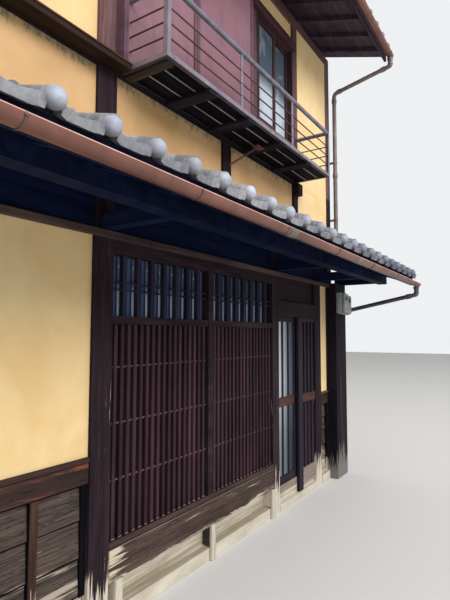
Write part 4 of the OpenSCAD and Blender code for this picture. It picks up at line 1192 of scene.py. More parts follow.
@dataclass
class Downpipes(Part):
    """Both downpipes, with their outlets, bends, collars and wall clips."""

    radius: float = 0.022
    collar_r: float = 0.027
    collar_half: float = 0.022
    gutter_r: float = 0.034
    # Place under the gutter, rim of the gutter, and setback on the wall
    lower: Triple = (2.8905, -4.790, 2.042)
    lower_wall: float = -0.0475
    lower_end: Span = (2.8605, 1.760)
    upper: Triple = (2.6615, -4.635, 4.465)
    upper_wall: float = -0.073
    upper_turn: float = 4.209
    upper_foot: float = 2.500
    clips: tuple[float, ...] = (2.756, 3.406)
    clip_half: float = 0.008
    clip_h: float = 0.022

    def run(self, mesh: Mesher, start: Triple, ends: list[Triple], bend: float) -> list[Vector]:
        """Adds the funnel under a gutter and the pipe that leads on from it.

        Args:
            mesh: Mesh to add to.
            start: Place under the gutter, with the height of its rim.
            ends: Further corners of the route.
            bend: Length that each bend takes from its legs.

        Returns:
            All corners of the route.
        """
        r = self.radius
        x, y, rim = start
        foot = rim - self.gutter_r
        profile = [(0.0, 0.0), (r + 0.008, 0.0), (r + 0.008, -0.012), (r + 0.002, -0.034),
                   (r + 0.002, -0.060), (r + 0.005, -0.060), (r + 0.005, -0.070), (0.0, -0.070)]
        mesh.turned(profile, Matrix.Translation((x, y, foot)), 20)
        points = [Vector((x, y, foot - 0.060)), Vector((x, y, foot - 0.085)), *map(Vector, ends)]
        mesh.sweep(Mesher.bend(points, bend), Mesher.ring(r, 16), Vector((0, 1, 0)))
        return points

    def collars(self, mesh: Mesher, start: Vector, end: Vector, places: Span) -> None:
        """Adds socket collars on a straight length.

        Args:
            mesh: Mesh to add to.
            start: One end of the length.
            end: Its other end.
            places: Shares of the length where collars sit.
        """
        half = (end - start).normalized() * self.collar_half
        for share in places:
            at = start.lerp(end, share)
            mesh.rod(at - half, at + half, self.collar_r, 18)

    def build(self) -> None:
        """Builds the pipes in the CAD pipes' place."""
        node = ("downpipes",)
        mesh = Mesher()
        wall = FACE + self.lower_wall
        end_x, end_z = self.lower_end
        points = self.run(mesh, self.lower, [(self.lower[0], wall, end_z), (end_x, wall, end_z)], 0.035)
        self.collars(mesh, points[1], points[2], (0.10, 0.90))
        mesh.piece("lower_downpipe", self.palette.dark_pipe, "pipe_paint", node, True)
        mesh = Mesher()
        x, wall = self.upper[0], FACE + self.upper_wall
        points = self.run(mesh, self.upper, [(x, wall, self.upper_turn), (x, wall, self.upper_foot)], 0.045)
        self.collars(mesh, points[1], points[2], (0.12, 0.90))
        self.collars(mesh, points[2], points[3], (0.05, 0.55))
        for z in self.clips:
            top = z + self.clip_h
            mesh.rod(Vector((x, wall, z)), Vector((x, wall, top)), self.radius + 0.003, 16)
            mesh.block((x - self.clip_half, wall, z), (x + self.clip_half, FACE, top), 0.001)
        mesh.piece("upper_downpipe", self.palette.pipe, "pipe_paint", node, True)


@dataclass
class Balcony(Part):
    """The small steel balcony: angle frame, bearers, boards, rail, posts and rods."""

    x0: float = -0.5485
    x1: float = 1.7745
    out: float = 0.345
    foot: float = 2.955
    top: float = 2.983
    leg: float = 0.030
    steel: float = 0.005
    rail_z: float = 3.368
    rail_r: float = 0.017
    rod_r: float = 0.005
    rods: tuple[float, ...] = (3.070, 3.154, 3.240)
    bearers: tuple[float, ...] = (0.191, 0.389, 0.589, 0.8045)
    bearer_w: float = 0.095
    bearer_drop: float = 0.020
    boards: int = 3
    gap: float = 0.008
    brace_r: float = 0.007
    brace_foot: Triple = (0.6005, 0.007, 2.787)
    brace_out: float = 0.160
    plate: float = 0.075
    box_out: float = 0.060
    corner: float = 0.030
    middle: float = 0.026
    middle_t: float = 0.008
    bolts: int = 9
    bolt_end: float = 0.060
    pale_edge_w: float = 0.0015
    end_gap: float = 0.004
    end_w: float = 0.060
    end_drop: float = 0.012

    def build(self) -> None:
        """Builds every part in the CAD balcony's place."""
        self.angle_frame()
        self.timber()
        self.brace()
        self.railing()

    def angle_frame(self) -> None:
        """Builds the rolled angle round three sides with its bolts."""
        mesh = Mesher()
        t, w = self.steel, self.leg
        mesh.front((self.x0, self.x1), (-self.out, -self.out + t), (self.foot, self.top), 0.001)
        for x in (self.x0, self.x1 - t):
            mesh.front((x, x + t), (-self.out + t, 0.0), (self.foot, self.top), 0.001)
        for k in range(self.bolts):
            x = self.x0 + self.bolt_end + k * (self.x1 - self.x0 - 2 * self.bolt_end) / (self.bolts - 1)
            place = Matrix.Translation((x, FACE - self.out, (self.foot + self.top) / 2))
            mesh.turned([(0.0, 0.004), (0.004, 0.0035), (0.007, 0.0), (0.0, 0.0)],
                        place @ Matrix.Rotation(math.pi / 2, 4, "X"), 6)
        mesh.piece("balcony_angle", self.palette.steel, "balcony_paint", ("balcony_frame",), True)
        mesh = Mesher()
        mesh.front((self.x0 + t, self.x1 - t), (-self.out + t, -self.out + w),
                   (self.foot, self.foot + t), 0.001)
        for x in (self.x0 + t, self.x1 - w):
            mesh.front((x, x + w - t), (-self.out + w, 0.0), (self.foot, self.foot + t), 0.001)
        mesh.piece("balcony_lower_leg", self.palette.shaded_steel, "balcony_paint", ("balcony_frame",))

    def timber(self) -> None:
        """Builds the bearers and the floor boards, with pale strips along the boards' edges."""
        mesh = Mesher()
        length = self.x1 - self.x0
        for share in self.bearers:
            x = self.x0 + share * length
            side = (x - self.bearer_w / 2, x + self.bearer_w / 2)
            mesh.front(side, (-self.out + 2 * self.steel, 0.0),
                       (self.foot - self.bearer_drop, self.foot), 0.003)
            mesh.front(side, (-self.out + self.leg, 0.0), (self.foot, self.foot + self.steel), 0.0005)
        mesh.piece("balcony_bearers", self.palette.bearer, "balcony_paint", ("balcony_frame",))
        mesh = Mesher()
        x = self.x0 + self.leg + self.end_gap
        mesh.front((x, x + self.end_w), (-self.out + self.leg + 0.002, 0.0),
                   (self.foot - self.end_drop, self.foot + self.steel), 0.002)
        mesh.piece("balcony_end_bearer", self.palette.end_bearer, "balcony_paint", ("balcony_frame",))
        boards, edges = Mesher(), Mesher()
        span = self.out - self.steel
        width = span / self.boards - self.gap
        z = (self.foot + self.steel, self.top)
        x = (self.x0 + self.steel, self.x1 - self.steel)
        rim = self.pale_edge_w
        for i in range(self.boards):
            y = -span + i * (width + self.gap)
            boards.front(x, (y + rim, y + width - rim), z, 0.0005)
            for side in (y, y + width - rim):
                edges.front(x, (side, side + rim), z, 0.0005)
        boards.piece("balcony_boards", self.palette.deck, "worn_wood", ("balcony_deck",))
        edges.piece("balcony_board_edges", self.palette.pale_board_edge, "worn_wood", ("balcony_deck",))

    def brace(self) -> None:
        """Builds the iron brace from the post to its plate under a bearer."""
        mesh = Mesher()
        x = self.x0 + self.bearers[2] * (self.x1 - self.x0) - self.bearer_w / 2
        z = self.foot - self.bearer_drop
        foot = Vector((self.brace_foot[0], FACE - self.brace_foot[1], self.brace_foot[2]))
        head = Vector((x - self.plate / 2, FACE - self.brace_out, z - self.brace_r))
        mesh.sweep([foot, foot.lerp(head, 0.5), head], Mesher.ring(self.brace_r, 12))
        mesh.front((x - self.plate, x + self.leg), (-self.brace_out - self.leg, -self.brace_out + self.leg),
                   (z - self.steel, z), 0.001)
        eye = Matrix.Translation((foot.x, FACE, foot.z)) @ Matrix.Rotation(math.pi / 2, 4, "X")
        mesh.turned([(0.0, self.brace_r), (0.008, self.brace_r), (0.014, 0.003), (0.014, 0.0),
                     (0.0, 0.0)], eye, 16)
        mesh.piece("balcony_brace", self.palette.rod, "balcony_paint", ("balcony_frame",), True)

    def round_corners(self, z: float, bend: float, steps: int) -> list[Vector]:
        """Gives a level route from the shutter box round the balcony to the wall.

        Args:
            z: Height of the route.
            bend: Length that each corner takes from its legs.
            steps: Points in each bend.

        Returns:
            The route.
        """
        half = self.corner / 2
        left, right, y = self.x0 + half, self.x1 - half, FACE - self.out + half
        return Mesher.bend([Vector((left, FACE - self.box_out, z)), Vector((left, y, z)),
                            Vector((right, y, z)), Vector((right, FACE, z))], bend, steps)

    def railing(self) -> None:
        """Builds the top rail, posts and the three rods with their returns."""
        both = ("balcony_rail", "balcony_returns")
        rail, posts, rods = Mesher(), Mesher(), Mesher()
        rail.sweep(self.round_corners(self.rail_z, 0.028, 5), Mesher.ring(self.rail_r, 16))
        rail.piece("balcony_top_rail", self.palette.rail, "balcony_paint", both, True)
        t, z = self.steel, (self.top, self.rail_z)
        for x, side in ((self.x0, 1), (self.x1, -1)):
            posts.front(sorted((x, x + side * self.corner)), (-self.out, -self.out + t), z, 0.001)
            posts.front(sorted((x, x + side * t)), (-self.out + t, -self.out + self.corner), z, 0.001)
        y = -self.out + self.corner / 2
        for k in (1, 2):
            x = self.x0 + k * (self.x1 - self.x0) / 3
            posts.front((x - self.middle / 2, x + self.middle / 2),
                        (y - self.middle_t / 2, y + self.middle_t / 2), z, 0.001)
        posts.piece("balcony_posts", self.palette.steel, "balcony_paint", ("balcony_rail",), True)
        for height in self.rods:
            rods.sweep(self.round_corners(height, 0.014, 4), Mesher.ring(self.rod_r, 10))
        rods.piece("balcony_rods", self.palette.rod, "balcony_paint", both, True)


@dataclass
class ShutterBox(Part):
    """The box that the storm shutters slide into, clad in painted sheet."""

    x0: float = -0.581
    x1: float = 0.846
    out: float = 0.060
    foot: float = 2.985
    top: float = 4.420
    board: float = 0.012
    stile: float = 0.034
    middle: float = 0.472
    middle_w: float = 0.062
    proud: float = 0.006
    seam: float = 0.003
    sheet_end: float = 0.012
    # Gap between the two middle stiles, and near and far side of the pale seam strip beside them
    split: float = 0.004
    strip: Span = (0.011, 0.006)

    def build(self) -> None:
        """Builds sheets, boards and stiles in the CAD box's place."""
        node = ("shutter_box",)
        middle = self.x0 + self.middle * (self.x1 - self.x0)
        half = self.middle_w / 2
        z = (self.foot + self.sheet_end, self.top - self.sheet_end)
        sheets = Mesher()
        for a, b in ((self.x0 + self.stile, middle - half), (middle + half, self.x1 - self.stile)):
            sheets.front((a + self.seam, b - self.seam), (-self.out, -self.out + self.board), z, 0.0008)
        sheets.piece("shutter_sheets", self.palette.shutter, "shutter_sheet", node)
        stiles = Mesher()
        for x in ((self.x0, self.x0 + self.stile), (middle - half, middle - self.split / 2),
                  (middle + self.split / 2, middle + half), (self.x1 - self.stile, self.x1)):
            stiles.front(x, (-self.out - self.proud, -self.out + self.board), (self.foot, self.top))
        stiles.piece("shutter_stiles", self.palette.shutter_stile, "shutter_sheet", node)
        seam = Mesher()
        left = middle - half
        seam.front((left - self.strip[0], left - self.strip[1]), (-self.out - 0.001, -self.out + 0.004),
                   z, 0.0003)
        seam.piece("shutter_seam_strip", self.palette.orange_seam, "shutter_sheet", node)
        # The boards take the dark stile finish; on the box's side board, seen from the left, this darkness is
        # painted shade
        boards = Mesher()
        inner = (-self.out + self.board, -self.board)
        boards.front((self.x0, self.x1), (-self.board, 0.0), (self.foot, self.top), 0.001)
        boards.front((self.x0, self.x0 + self.board), inner, (self.foot, self.top), 0.001)
        for foot in (self.foot, self.top - self.board):
            boards.front((self.x0 + self.board, self.x1), inner, (foot, foot + self.board), 0.001)
        boards.piece("shutter_boards", self.palette.shutter_stile, "shutter_sheet", node)


@dataclass
class UpperWindow(Part):
    """The upstairs window: head board, sill, wall board and two sliding sashes."""

    stud_x: float = 0.954
    x0: float = 1.014
    x1: float = 1.730
    foot: float = 3.306
    head: float = 4.252
    head_h: float = 0.078
    head_out: float = 0.035
    head_lap: float = 0.040
    sill_h: float = 0.040
    lining: float = 0.020
    box_lining: float = 0.050
    depth: float = 0.090
    stile: float = 0.034
    top_rail: float = 0.040
    foot_rail: float = 0.060
    sash_t: float = 0.028
    back: float = 0.050
    girth_top: float = 3.060
    sill_out: float = 0.020
    wall_back: float = 0.010

    def sash(self, mesh: Mesher, x0: float, x1: float, y: float) -> None:
        """Adds one sash.

        Args:
            mesh: Mesh to add to.
            x0: Left side.
            x1: Right side.
            y: Setback of its face.
        """
        yy = (y, y + self.sash_t)
        for x in ((x0, x0 + self.stile), (x1 - self.stile, x1)):
            mesh.front(x, yy, (self.foot, self.head), 0.002)
        for z in ((self.foot, self.foot + self.foot_rail), (self.head - self.top_rail, self.head)):
            mesh.front((x0 + self.stile, x1 - self.stile), yy, z, 0.002)

    def build(self) -> None:
        """Builds every part in the CAD window's place."""
        node = ("upper_window",)
        mesh = Mesher()
        z = (self.head, self.head + self.head_h)
        mesh.front((self.stud_x - self.head_lap, self.x1), (-self.head_out, 0.0), z, 0.004)
        mesh.front((self.x0, self.x1), (0.0, self.depth), z, 0.001)
        mesh.piece("window_head_board", self.palette.head_board, "dark_wood", node)
        mesh = Mesher()
        under = self.foot - self.sill_h
        mesh.front((self.x0, self.x1), (-self.sill_out, self.depth), (under, self.foot), 0.003)
        mesh.front((self.x0, self.x1), (self.wall_back, self.depth), (self.girth_top, under), 0.001)
        mesh.piece("window_sill", self.palette.beam, "dark_wood", node)
        mesh = Mesher()
        left = (self.x0, self.x0 + self.box_lining)
        right = (self.x1 - self.lining, self.x1)
        for x in (left, right):
            mesh.front(x, (0.0, self.depth), (self.foot, self.head), 0.001)
        middle = (left[1] + right[0]) / 2
        self.sash(mesh, left[1], middle + self.stile / 2, self.back - self.sash_t)
        self.sash(mesh, middle - self.stile / 2, right[0], self.back)
        mesh.piece("window_sashes", self.palette.sash, "dark_wood", node)


@dataclass
class HeadBatten(Part):
    """The batten over every bay and the dark boards between it and the pent roof, soot-dark and coloured navy
    as painted shade.
    """

    x0: float = -2.5235
    x1: float = 2.5545
    joint: float = -0.30
    z0: float = 2.013
    z1: float = 2.052
    out: float = 0.030
    top: float = 2.285
    back: float = 0.008
    board_t: float = 0.082
    gap: float = 0.003
    lap: float = 0.004
    bays: tuple[Span, ...] = (
        (-2.5235, -0.701), (-0.566, 1.2775), (1.3955, 2.2055), (2.3555, 2.5545))

    def build(self) -> None:
        """Builds the batten with its butt joint and the boards above."""
        mesh = Mesher()
        for x in ((self.x0, self.joint - self.gap / 2), (self.joint + self.gap / 2, self.x1)):
            mesh.front(x, (-self.out, 0.0), (self.z0, self.z1), 0.004)
        mesh.piece("head_batten_lengths", self.palette.batten, "dark_wood", ("head_batten",))
        # The frieze boards are navy-black: soot, with painted shade under the pent roof
        mesh = Mesher()
        middle = (self.z1 + self.top) / 2
        for x in self.bays:
            for k, z in enumerate(((self.z1, middle - 0.001), (middle + 0.001, self.top))):
                mesh.front(x, (self.back + self.lap * k, self.back + self.board_t), z, 0.002)
        mesh.piece("soot_and_shade_frieze_boards", self.palette.soot_and_shade_wood, "dark_wood", ("head_batten",))


@dataclass
class WallSkins(Part):
    """Thin skins on the upstairs frame: plaster over the right bay's girth and post seams."""

    coat: Span = (2.386, 4.529)
    right_bay: Span = (1.8235, 2.554)
    skin: float = 0.002
    setback: float = 0.0078
    girth_drop: float = 0.007
    girth_h: float = 0.124
    seam_z: Span = (3.062, 4.528)
    seams: tuple[Span, ...] = ((-0.674, 0.004), (1.8185, 0.0045))

    def build(self) -> None:
        """Builds the plaster skin and the sunburnt seams."""
        mesh = Mesher()
        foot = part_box("ledge")[0].z - self.girth_drop
        top = foot + self.girth_h
        for z, back in (((self.coat[0], foot), self.setback), ((foot, top), 0.0),
                        ((top, self.coat[1]), self.setback)):
            mesh.front(self.right_bay, (-self.skin, back), z)
        mesh.piece("girth_plaster_skin", self.palette.yellow_skin, "yellow_plaster")
        mesh = Mesher()
        for x, w in self.seams:
            mesh.front((x, x + w), (-0.0008, 0.0), self.seam_z, 0.0002)
        mesh.piece("post_seams", self.palette.orange_seam, "dark_wood")


@dataclass
class Wainscot(Part):
    """Cap, deep rail, lapped boards and battens of the front wainscot."""

    bay: Span = (-2.5235, -0.701)
    strip: Span = (2.3555, 2.5545)
    top: float = 0.885
    strip_top: float = 0.910
    cap: float = 0.023
    rail: float = 0.105
    foot: float = 0.215
    back: float = 0.090
    lap: float = 0.181
    joint: float = 0.005
    board_face: float = 0.030
    board_t: float = 0.014
    step: float = 0.010
    overlap: float = 0.004
    sag: float = 0.004
    wave_pitch: float = 0.15
    batten_w: float = 0.042
    batten_pitch: float = 0.303
    batten_face: float = 0.014
    batten_back: float = 0.050
    rail_face: float = 0.008
    # Width and depth of the dark strip in the open joint at each field's right end: painted shade
    gap_w: float = 0.034
    gap_y: Span = (0.022, 0.060)
    # Shadow under the rail: its setback and height
    shadow: Span = (0.012, 0.006)

    def board(self, mesh: Mesher, x: Span, z: Span, seed: int) -> None:
        """Adds one lapped board with a slightly waved lower edge.

        Args:
            mesh: Mesh to add to.
            x: Left and right end.
            z: Foot and top.
            seed: Number that picks the waves.
        """
        dice = random.Random(seed)
        count = max(2, round((x[1] - x[0]) / self.wave_pitch))
        top = z[1] + self.overlap
        rings = []
        for i in range(count + 1):
            at = x[0] + (x[1] - x[0]) * i / count
            foot = z[0] + dice.random() * self.sag
            face = self.board_face + dice.random() * 0.002
            rings.append([(at, FACE + y, h) for y, h in (
                (face, foot), (self.board_face + self.step, top), (self.back, top),
                (self.back, z[0]), (face + self.board_t, foot))])
        mesh.skin(rings)

    def build(self) -> None:
        """Builds both fields of wainscot in the CAD wainscot's place."""
        boards, rails, caps, battens, shadow_strips = (Mesher() for _ in range(5))
        for field, (x, top) in enumerate(((self.bay, self.top), (self.strip, self.strip_top))):
            high = top - self.cap - self.rail
            count = math.ceil((high - self.foot) / self.lap)
            lap = (high - self.foot) / count
            for k in range(count):
                z = self.foot + k * lap
                self.board(boards, x, (z + self.joint, min(high, z + lap) - 0.001), 10 * field + k)
                # A dark strip in the joint under each lap: painted shadow
                shadow_strips.front(x, (self.board_face + 0.0005, self.back), (z, z + self.joint), 0.0)
            shadow_strips.front((x[1] - self.gap_w, x[1]), self.gap_y, (self.foot, high), 0.001)
            shadow_strips.front(x, (self.shadow[0], self.back), (high - self.shadow[1], high), 0.0)
            rails.front(x, (self.rail_face, self.back), (high, top - self.cap - 0.003), 0.003)
            caps.front(x, (0.0, self.back), (top - self.cap, top), 0.003)
        z = (self.foot, self.top - self.cap - self.rail)
        x = self.bay[1] - self.batten_pitch
        while x > self.bay[0] + self.batten_w:
            left = x - self.batten_w / 2
            battens.front((left, x + self.batten_w / 2), (self.batten_face, self.batten_back), z, 0.003)
            # A dark strip down each batten's left side: painted shade
            shadow_strips.front((left - 0.004, left + 0.001), (self.batten_face + 0.004, self.batten_back), z, 0.0)
            x -= self.batten_pitch
        node = ("wainscot_front",)
        for name, mesh, finish in (
            ("lapped_boards", boards, self.palette.wainscot), ("rail", rails, self.palette.worn_rail),
            ("cap", caps, self.palette.worn_rail), ("battens", battens, self.palette.field_batten),
            ("painted_shadow_strips", shadow_strips, self.palette.shadow_joint),
        ):
            mesh.piece("wainscot_" + name, finish, "worn_wood", node)


@dataclass
class SillBoard(Part):
    """The deep weathered board under the lattice and its pale stub posts."""

    x: Span = (-0.566, 1.2775)
    foot: float = 0.215
    top: float = 0.385
    out: float = 0.008
    depth: float = 0.060
    slices: int = 74
    bite: float = 0.016
    arris: float = 0.004
    strip_top: float = 0.4185
    # Ends along X, height and seed of each pale sliver
    slivers: tuple[tuple[float, float, float, int], ...] = (
        (0.03, 0.62, 0.019, 3), (1.1175, 1.2765, 0.014, 5), (-0.565, -0.466, 0.026, 8))
    sliver_out: float = 0.002
    sliver_in: float = 0.012
    stub_w: float = 0.050
    stub_out: float = 0.034
    stub_lap: float = 0.012
    # Face, back and height of the curb that the stub posts reach over
    curb: Triple = (-0.0103, 0.0497, 0.0885)

    def build(self) -> None:
        """Builds the board and the posts in the CAD board's place."""
        node = ("sill_board",)
        x, face = self.x, -self.out
        board, arris, strip, slivers, posts, back = (Mesher() for _ in range(6))
        board.rough_edge((x[0], FACE + face, self.foot), (x[1], FACE + self.depth, self.top),
                         self.slices, self.bite, 7)
        board.piece("sill_weather_board", self.palette.sill, "worn_wood", node)
        arris.front(x, (face - 0.001, 0.010), (self.top - self.arris, self.top), 0.0005)
        arris.piece("sill_rubbed_arris", self.palette.bleached_level, "worn_wood", node)
        strip.front(x, (-0.0015, 0.0), (self.top + 0.001, self.strip_top), 0.0003)
        strip.piece("sill_strip_facing", self.palette.strip_facing, "worn_wood")
        for sliver in self.slivers:
            self.splinter(slivers, *sliver)
        slivers.piece("sill_torn_slivers", self.palette.bleached_level, "worn_wood")
        middle = (x[0] + x[1]) / 2
        front, rear, top = self.curb
        for at, stub in ((x[0] + self.stub_w, posts), (middle, back), (x[1] - self.stub_w, posts)):
            a, b = at - self.stub_w / 2, at + self.stub_w / 2
            posts.front((a, b), (-self.stub_out, front), (0.0, self.foot + self.stub_lap), 0.004)
            stub.front((a + 0.003, b - 0.003), (front, rear), (top, self.foot), 0.001)
        posts.piece("pale_stub_posts", self.palette.bleached, "worn_wood", node)
        # The middle stub's back block takes the darker end-bearer finish: painted shade in the gap left of
        # the stub
        back.piece("middle_stub_back_painted_shade", self.palette.end_bearer, "worn_wood", node)

    def splinter(self, mesh: Mesher, x0: float, x1: float, height: float, seed: int) -> None:
        """Adds a pale sliver where the board's lower edge is torn.

        Args:
            mesh: Mesh to add to.
            x0: Left end.
            x1: Right end.
            height: Height of the sliver at its middle.
            seed: Number that picks the torn outline.
        """
        dice = random.Random(seed)
        front, back = FACE - self.out - self.sliver_out, FACE - self.out + self.sliver_in
        rings = []
        for i in range(25):
            t = i / 24
            x = x0 + (x1 - x0) * t
            rise = height * math.sin(math.pi * t) ** 0.6 * (0.6 + 0.6 * dice.random())
            top = self.foot + max(0.001, rise)
            rings.append([(x, front, self.foot), (x, back, self.foot), (x, back, top), (x, front, top)])
        mesh.skin(rings)


def bar_places(x: Span, width: float, count: int) -> list[float]:
    """Spaces bars evenly between two sides, as the CAD does.

    Args:
        x: Left and right side.
        width: Width of a bar.
        count: Number of bars.

    Returns:
        The left side of each bar.
    """
    pitch = (x[1] - x[0] + width) / (count + 1)
    return [x[0] - width + i * pitch for i in range(1, count + 1)]


@dataclass
class EntranceLeaf(Part):
    """The sliding leaf: stiles, rails and bars over frosted glass, with a finger pull."""

    stile: float = 0.050
    foot_rail: float = 0.075
    head_rail: float = 0.060
    mid_z: Span = (0.860, 0.940)
    bar_w: float = 0.025
    bars: int = 2
    bar_d: float = 0.012
    pull_z: float = 0.900

    def build(self) -> None:
        """Builds the leaf in the CAD leaf's place, on the door's own body."""
        low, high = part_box("door_leaf")
        node = ("door_leaf",)
        inner = (low.x + self.stile, high.x - self.stile)
        foot, head = low.z + self.foot_rail, high.z - self.head_rail
        leaf, rail, pull = Mesher(), Mesher(), Mesher()
        for x0, x1, z0, z1 in (
            (low.x, inner[0], low.z, high.z), (inner[1], high.x, low.z, high.z),
            (*inner, low.z, foot), (*inner, head, high.z),
        ):
            leaf.block((x0, low.y, z0), (x1, high.y, z1), 0.002)
        for z0, z1 in ((foot, self.mid_z[0]), (self.mid_z[1], head)):
            for x in bar_places(inner, self.bar_w, self.bars):
                leaf.block((x, low.y + 0.001, z0), (x + self.bar_w, low.y + self.bar_d, z1), 0.002)
        leaf.piece("leaf_frame", self.palette.lattice, "dark_wood", node, body=DOOR)
        rail.block((inner[0], low.y, self.mid_z[0]), (inner[1], high.y, self.mid_z[1]), 0.002)
        rail.piece("leaf_mid_rail", self.palette.red_wood_level, "dark_wood", node, body=DOOR)
        oval = Matrix.Rotation(math.pi / 2, 4, "X") @ Matrix.Diagonal((1, 2.2, 1, 1))
        pull.turned([(0.0, -0.0025), (0.011, -0.0025), (0.012, 0.0008), (0.015, 0.0010), (0.016, 0.0),
                     (0.0, -0.003)],
                    Matrix.Translation((low.x + self.stile / 2, low.y, self.pull_z)) @ oval, 20)
        pull.piece("leaf_finger_pull", self.palette.black, "dark_wood", body=DOOR)


@dataclass
class SidePanel(Part):
    """The fixed mullion and barred panel that the leaf slides behind."""

    mullion: Span = (1.8065, 1.8965)
    right: float = 2.2055
    depth: float = 0.030
    face: float = 0.004
    bar_face: float = 0.006
    board_face: float = 0.022
    step_z: float = 0.051
    foot: float = 0.090
    sill: float = 0.245
    mid_z: Span = (0.860, 0.940)
    head_rail: float = 0.040
    head: float = 1.665
    bar_w: float = 0.025
    bars: int = 3

    def build(self) -> None:
        """Builds the panel in the CAD panel's place."""
        node = ("side_lattice",)
        x = (self.mullion[1], self.right)
        y = (self.face, self.depth)
        under = self.head - self.head_rail
        mullion, panel, rail, board = (Mesher() for _ in range(4))
        mullion.front(self.mullion, (0.0, self.depth), (self.step_z, self.head), 0.003)
        mullion.piece("fixed_mullion", self.palette.lattice, "dark_wood", node)
        panel.front(x, y, (under, self.head), 0.002)
        for z in ((self.sill, self.mid_z[0]), (self.mid_z[1], under)):
            panel.front(x, (self.board_face, self.depth), z, 0.0005)
            for at in bar_places(x, self.bar_w, self.bars):
                panel.front((at, at + self.bar_w), (self.bar_face, self.board_face), z, 0.002)
        panel.piece("barred_side_panel", self.palette.lattice, "dark_wood", node)
        rail.front(x, y, self.mid_z, 0.002)
        rail.piece("side_panel_mid_rail", self.palette.red_wood_level, "dark_wood", node)
        board.front(x, y, (self.foot, self.sill), 0.003)
        board.piece("side_panel_foot_board", self.palette.bleached_level, "dark_wood", node)


@dataclass
class Lattice(Part):
    """The barred panels of the front: eased bars, threaded rails and a transom row."""

    left: float = -0.566
    right: float = 1.2775
    mullion: float = 0.056
    foot: float = 0.420
    transom: Span = (1.557, 1.600)
    head: float = 1.940
    bar_w: float = 0.025
    bars: int = 17
    face: float = 0.012
    depth: float = 0.030
    rails: tuple[float, ...] = (0.725, 1.024, 1.324)
    upper_w: float = 0.032
    upper_bars: int = 7
    upper_rails: tuple[float, ...] = (1.748, 1.786)
    rail_h: float = 0.010
    rail_d: float = 0.012
    # Half the width and height of a peg's head, how far it stands proud and how deep it sits
    peg: Span = (0.0035, 0.0045)
    peg_y: Span = (-0.0012, 0.002)
    # Rubbed foot of each bar
    rub_in: float = 0.001
    rub_y: Span = (-0.001, 0.002)
    rub_h: float = 0.006
    # Pale strips behind the transom's bars, and small pale marks on the left panel's strips that stand for
    # bright reflections: painted glints
    strip_half: float = 0.014
    strip_y: Span = (0.0445, 0.0475)
    strip_gap: float = 0.004
    glint_x: Span = (-0.010, -0.002)
    glint_y: Span = (0.0425, 0.0445)
    glint_z: Span = (1.872, 1.890)

    def panel(
        self, bars: Mesher, rails: Mesher, x: Span, z: Span, count: int, width: float,
        heights: tuple[float, ...],
    ) -> None:
        """Adds one panel of bars and its threaded rails.

        Args:
            bars: Mesh that takes the bars.
            rails: Mesh that takes the rails and the pegs that pin them.
            x: Left and right side of the panel.
            z: Foot and top.
            count: Bars in the panel.
            width: Width of a bar.
            heights: Heights of the rails.
        """
        peg_y = (self.face + self.peg_y[0], self.face + self.peg_y[1])
        for at in bar_places(x, width, count):
            bars.front((at, at + width), (self.face, self.face + self.depth), z, 0.002)
            centre = at + width / 2
            for h in heights:
                rails.front((centre - self.peg[0], centre + self.peg[0]), peg_y,
                            (h - self.peg[1], h + self.peg[1]), 0.0005)
        middle = self.face + self.depth / 2
        for h in heights:
            rails.front(x, (middle - self.rail_d / 2, middle + self.rail_d / 2),
                        (h - self.rail_h / 2, h + self.rail_h / 2), 0.001)

    def build(self) -> None:
        """Builds all four panels in the CAD panels' places."""
        middle = (self.left + self.right) / 2
        halves = {"left": (self.left, middle - self.mullion / 2),
                  "right": (middle + self.mullion / 2, self.right)}
        upper_bars, upper_rails, feet, strips, glints = (Mesher() for _ in range(5))
        rub_y = (self.face + self.rub_y[0], self.face + self.rub_y[1])
        for side, x in halves.items():
            bars, rails = Mesher(), Mesher()
            self.panel(bars, rails, x, (self.foot, self.transom[0]), self.bars, self.bar_w, self.rails)
            for at in bar_places(x, self.bar_w, self.bars):
                feet.front((at + self.rub_in, at + self.bar_w - self.rub_in), rub_y,
                           (self.foot, self.foot + self.rub_h), 0.0005)
            node = ("lattice_" + side,)
            bars.piece("bars_" + side, self.palette.bar, "dark_wood", node)
            rails.piece("threaded_rails_" + side, self.palette.thread, "dark_wood", node)
            self.panel(upper_bars, upper_rails, x, (self.transom[1], self.head), self.upper_bars,
                       self.upper_w, self.upper_rails)
            for at in bar_places(x, self.upper_w, self.upper_bars):
                strips.front((at - self.strip_half, at + self.strip_half), self.strip_y,
                             (self.transom[1] + self.strip_gap, self.head - self.strip_gap), 0.0)
                # Small pale marks near the top of the left panel: painted reflections
                if side == "left":
                    glints.front((at + self.glint_x[0], at + self.glint_x[1]), self.glint_y, self.glint_z, 0.001)
        feet.piece("rubbed_bar_feet", self.palette.bleached_level, "dark_wood", ("lattice_left",))
        for name, mesh, finish in (
            ("transom_pale_strips", strips, self.palette.pale_strip),
            ("transom_painted_glints", glints, self.palette.bleached),
            ("upper_bars", upper_bars, self.palette.shaded_bar),
            ("upper_threaded_rails", upper_rails, self.palette.shaded_bar),
        ):
            mesh.piece(name, finish, "dark_wood", ("lattice_upper",))


@dataclass
class Ledge(Part):
    """The weathered ledge board under the shutter box, with a worn front edge."""

    lip: float = 0.006
    lip_h: float = 0.010

    def build(self) -> None:
        """Builds the board in the CAD board's place."""
        low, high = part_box("ledge")
        seam = high.z - self.lip_h
        board, lip = Mesher(), Mesher()
        board.block((low.x, low.y + self.lip, low.z), (high.x, high.y, seam), 0.003)
        board.piece("ledge_board", self.palette.ledge_board, "worn_wood", ("ledge",))
        lip.block((low.x, low.y, seam), tuple(high), 0.003, 2)
        lip.piece("ledge_worn_lip", self.palette.ledge, "worn_wood", ("ledge",))


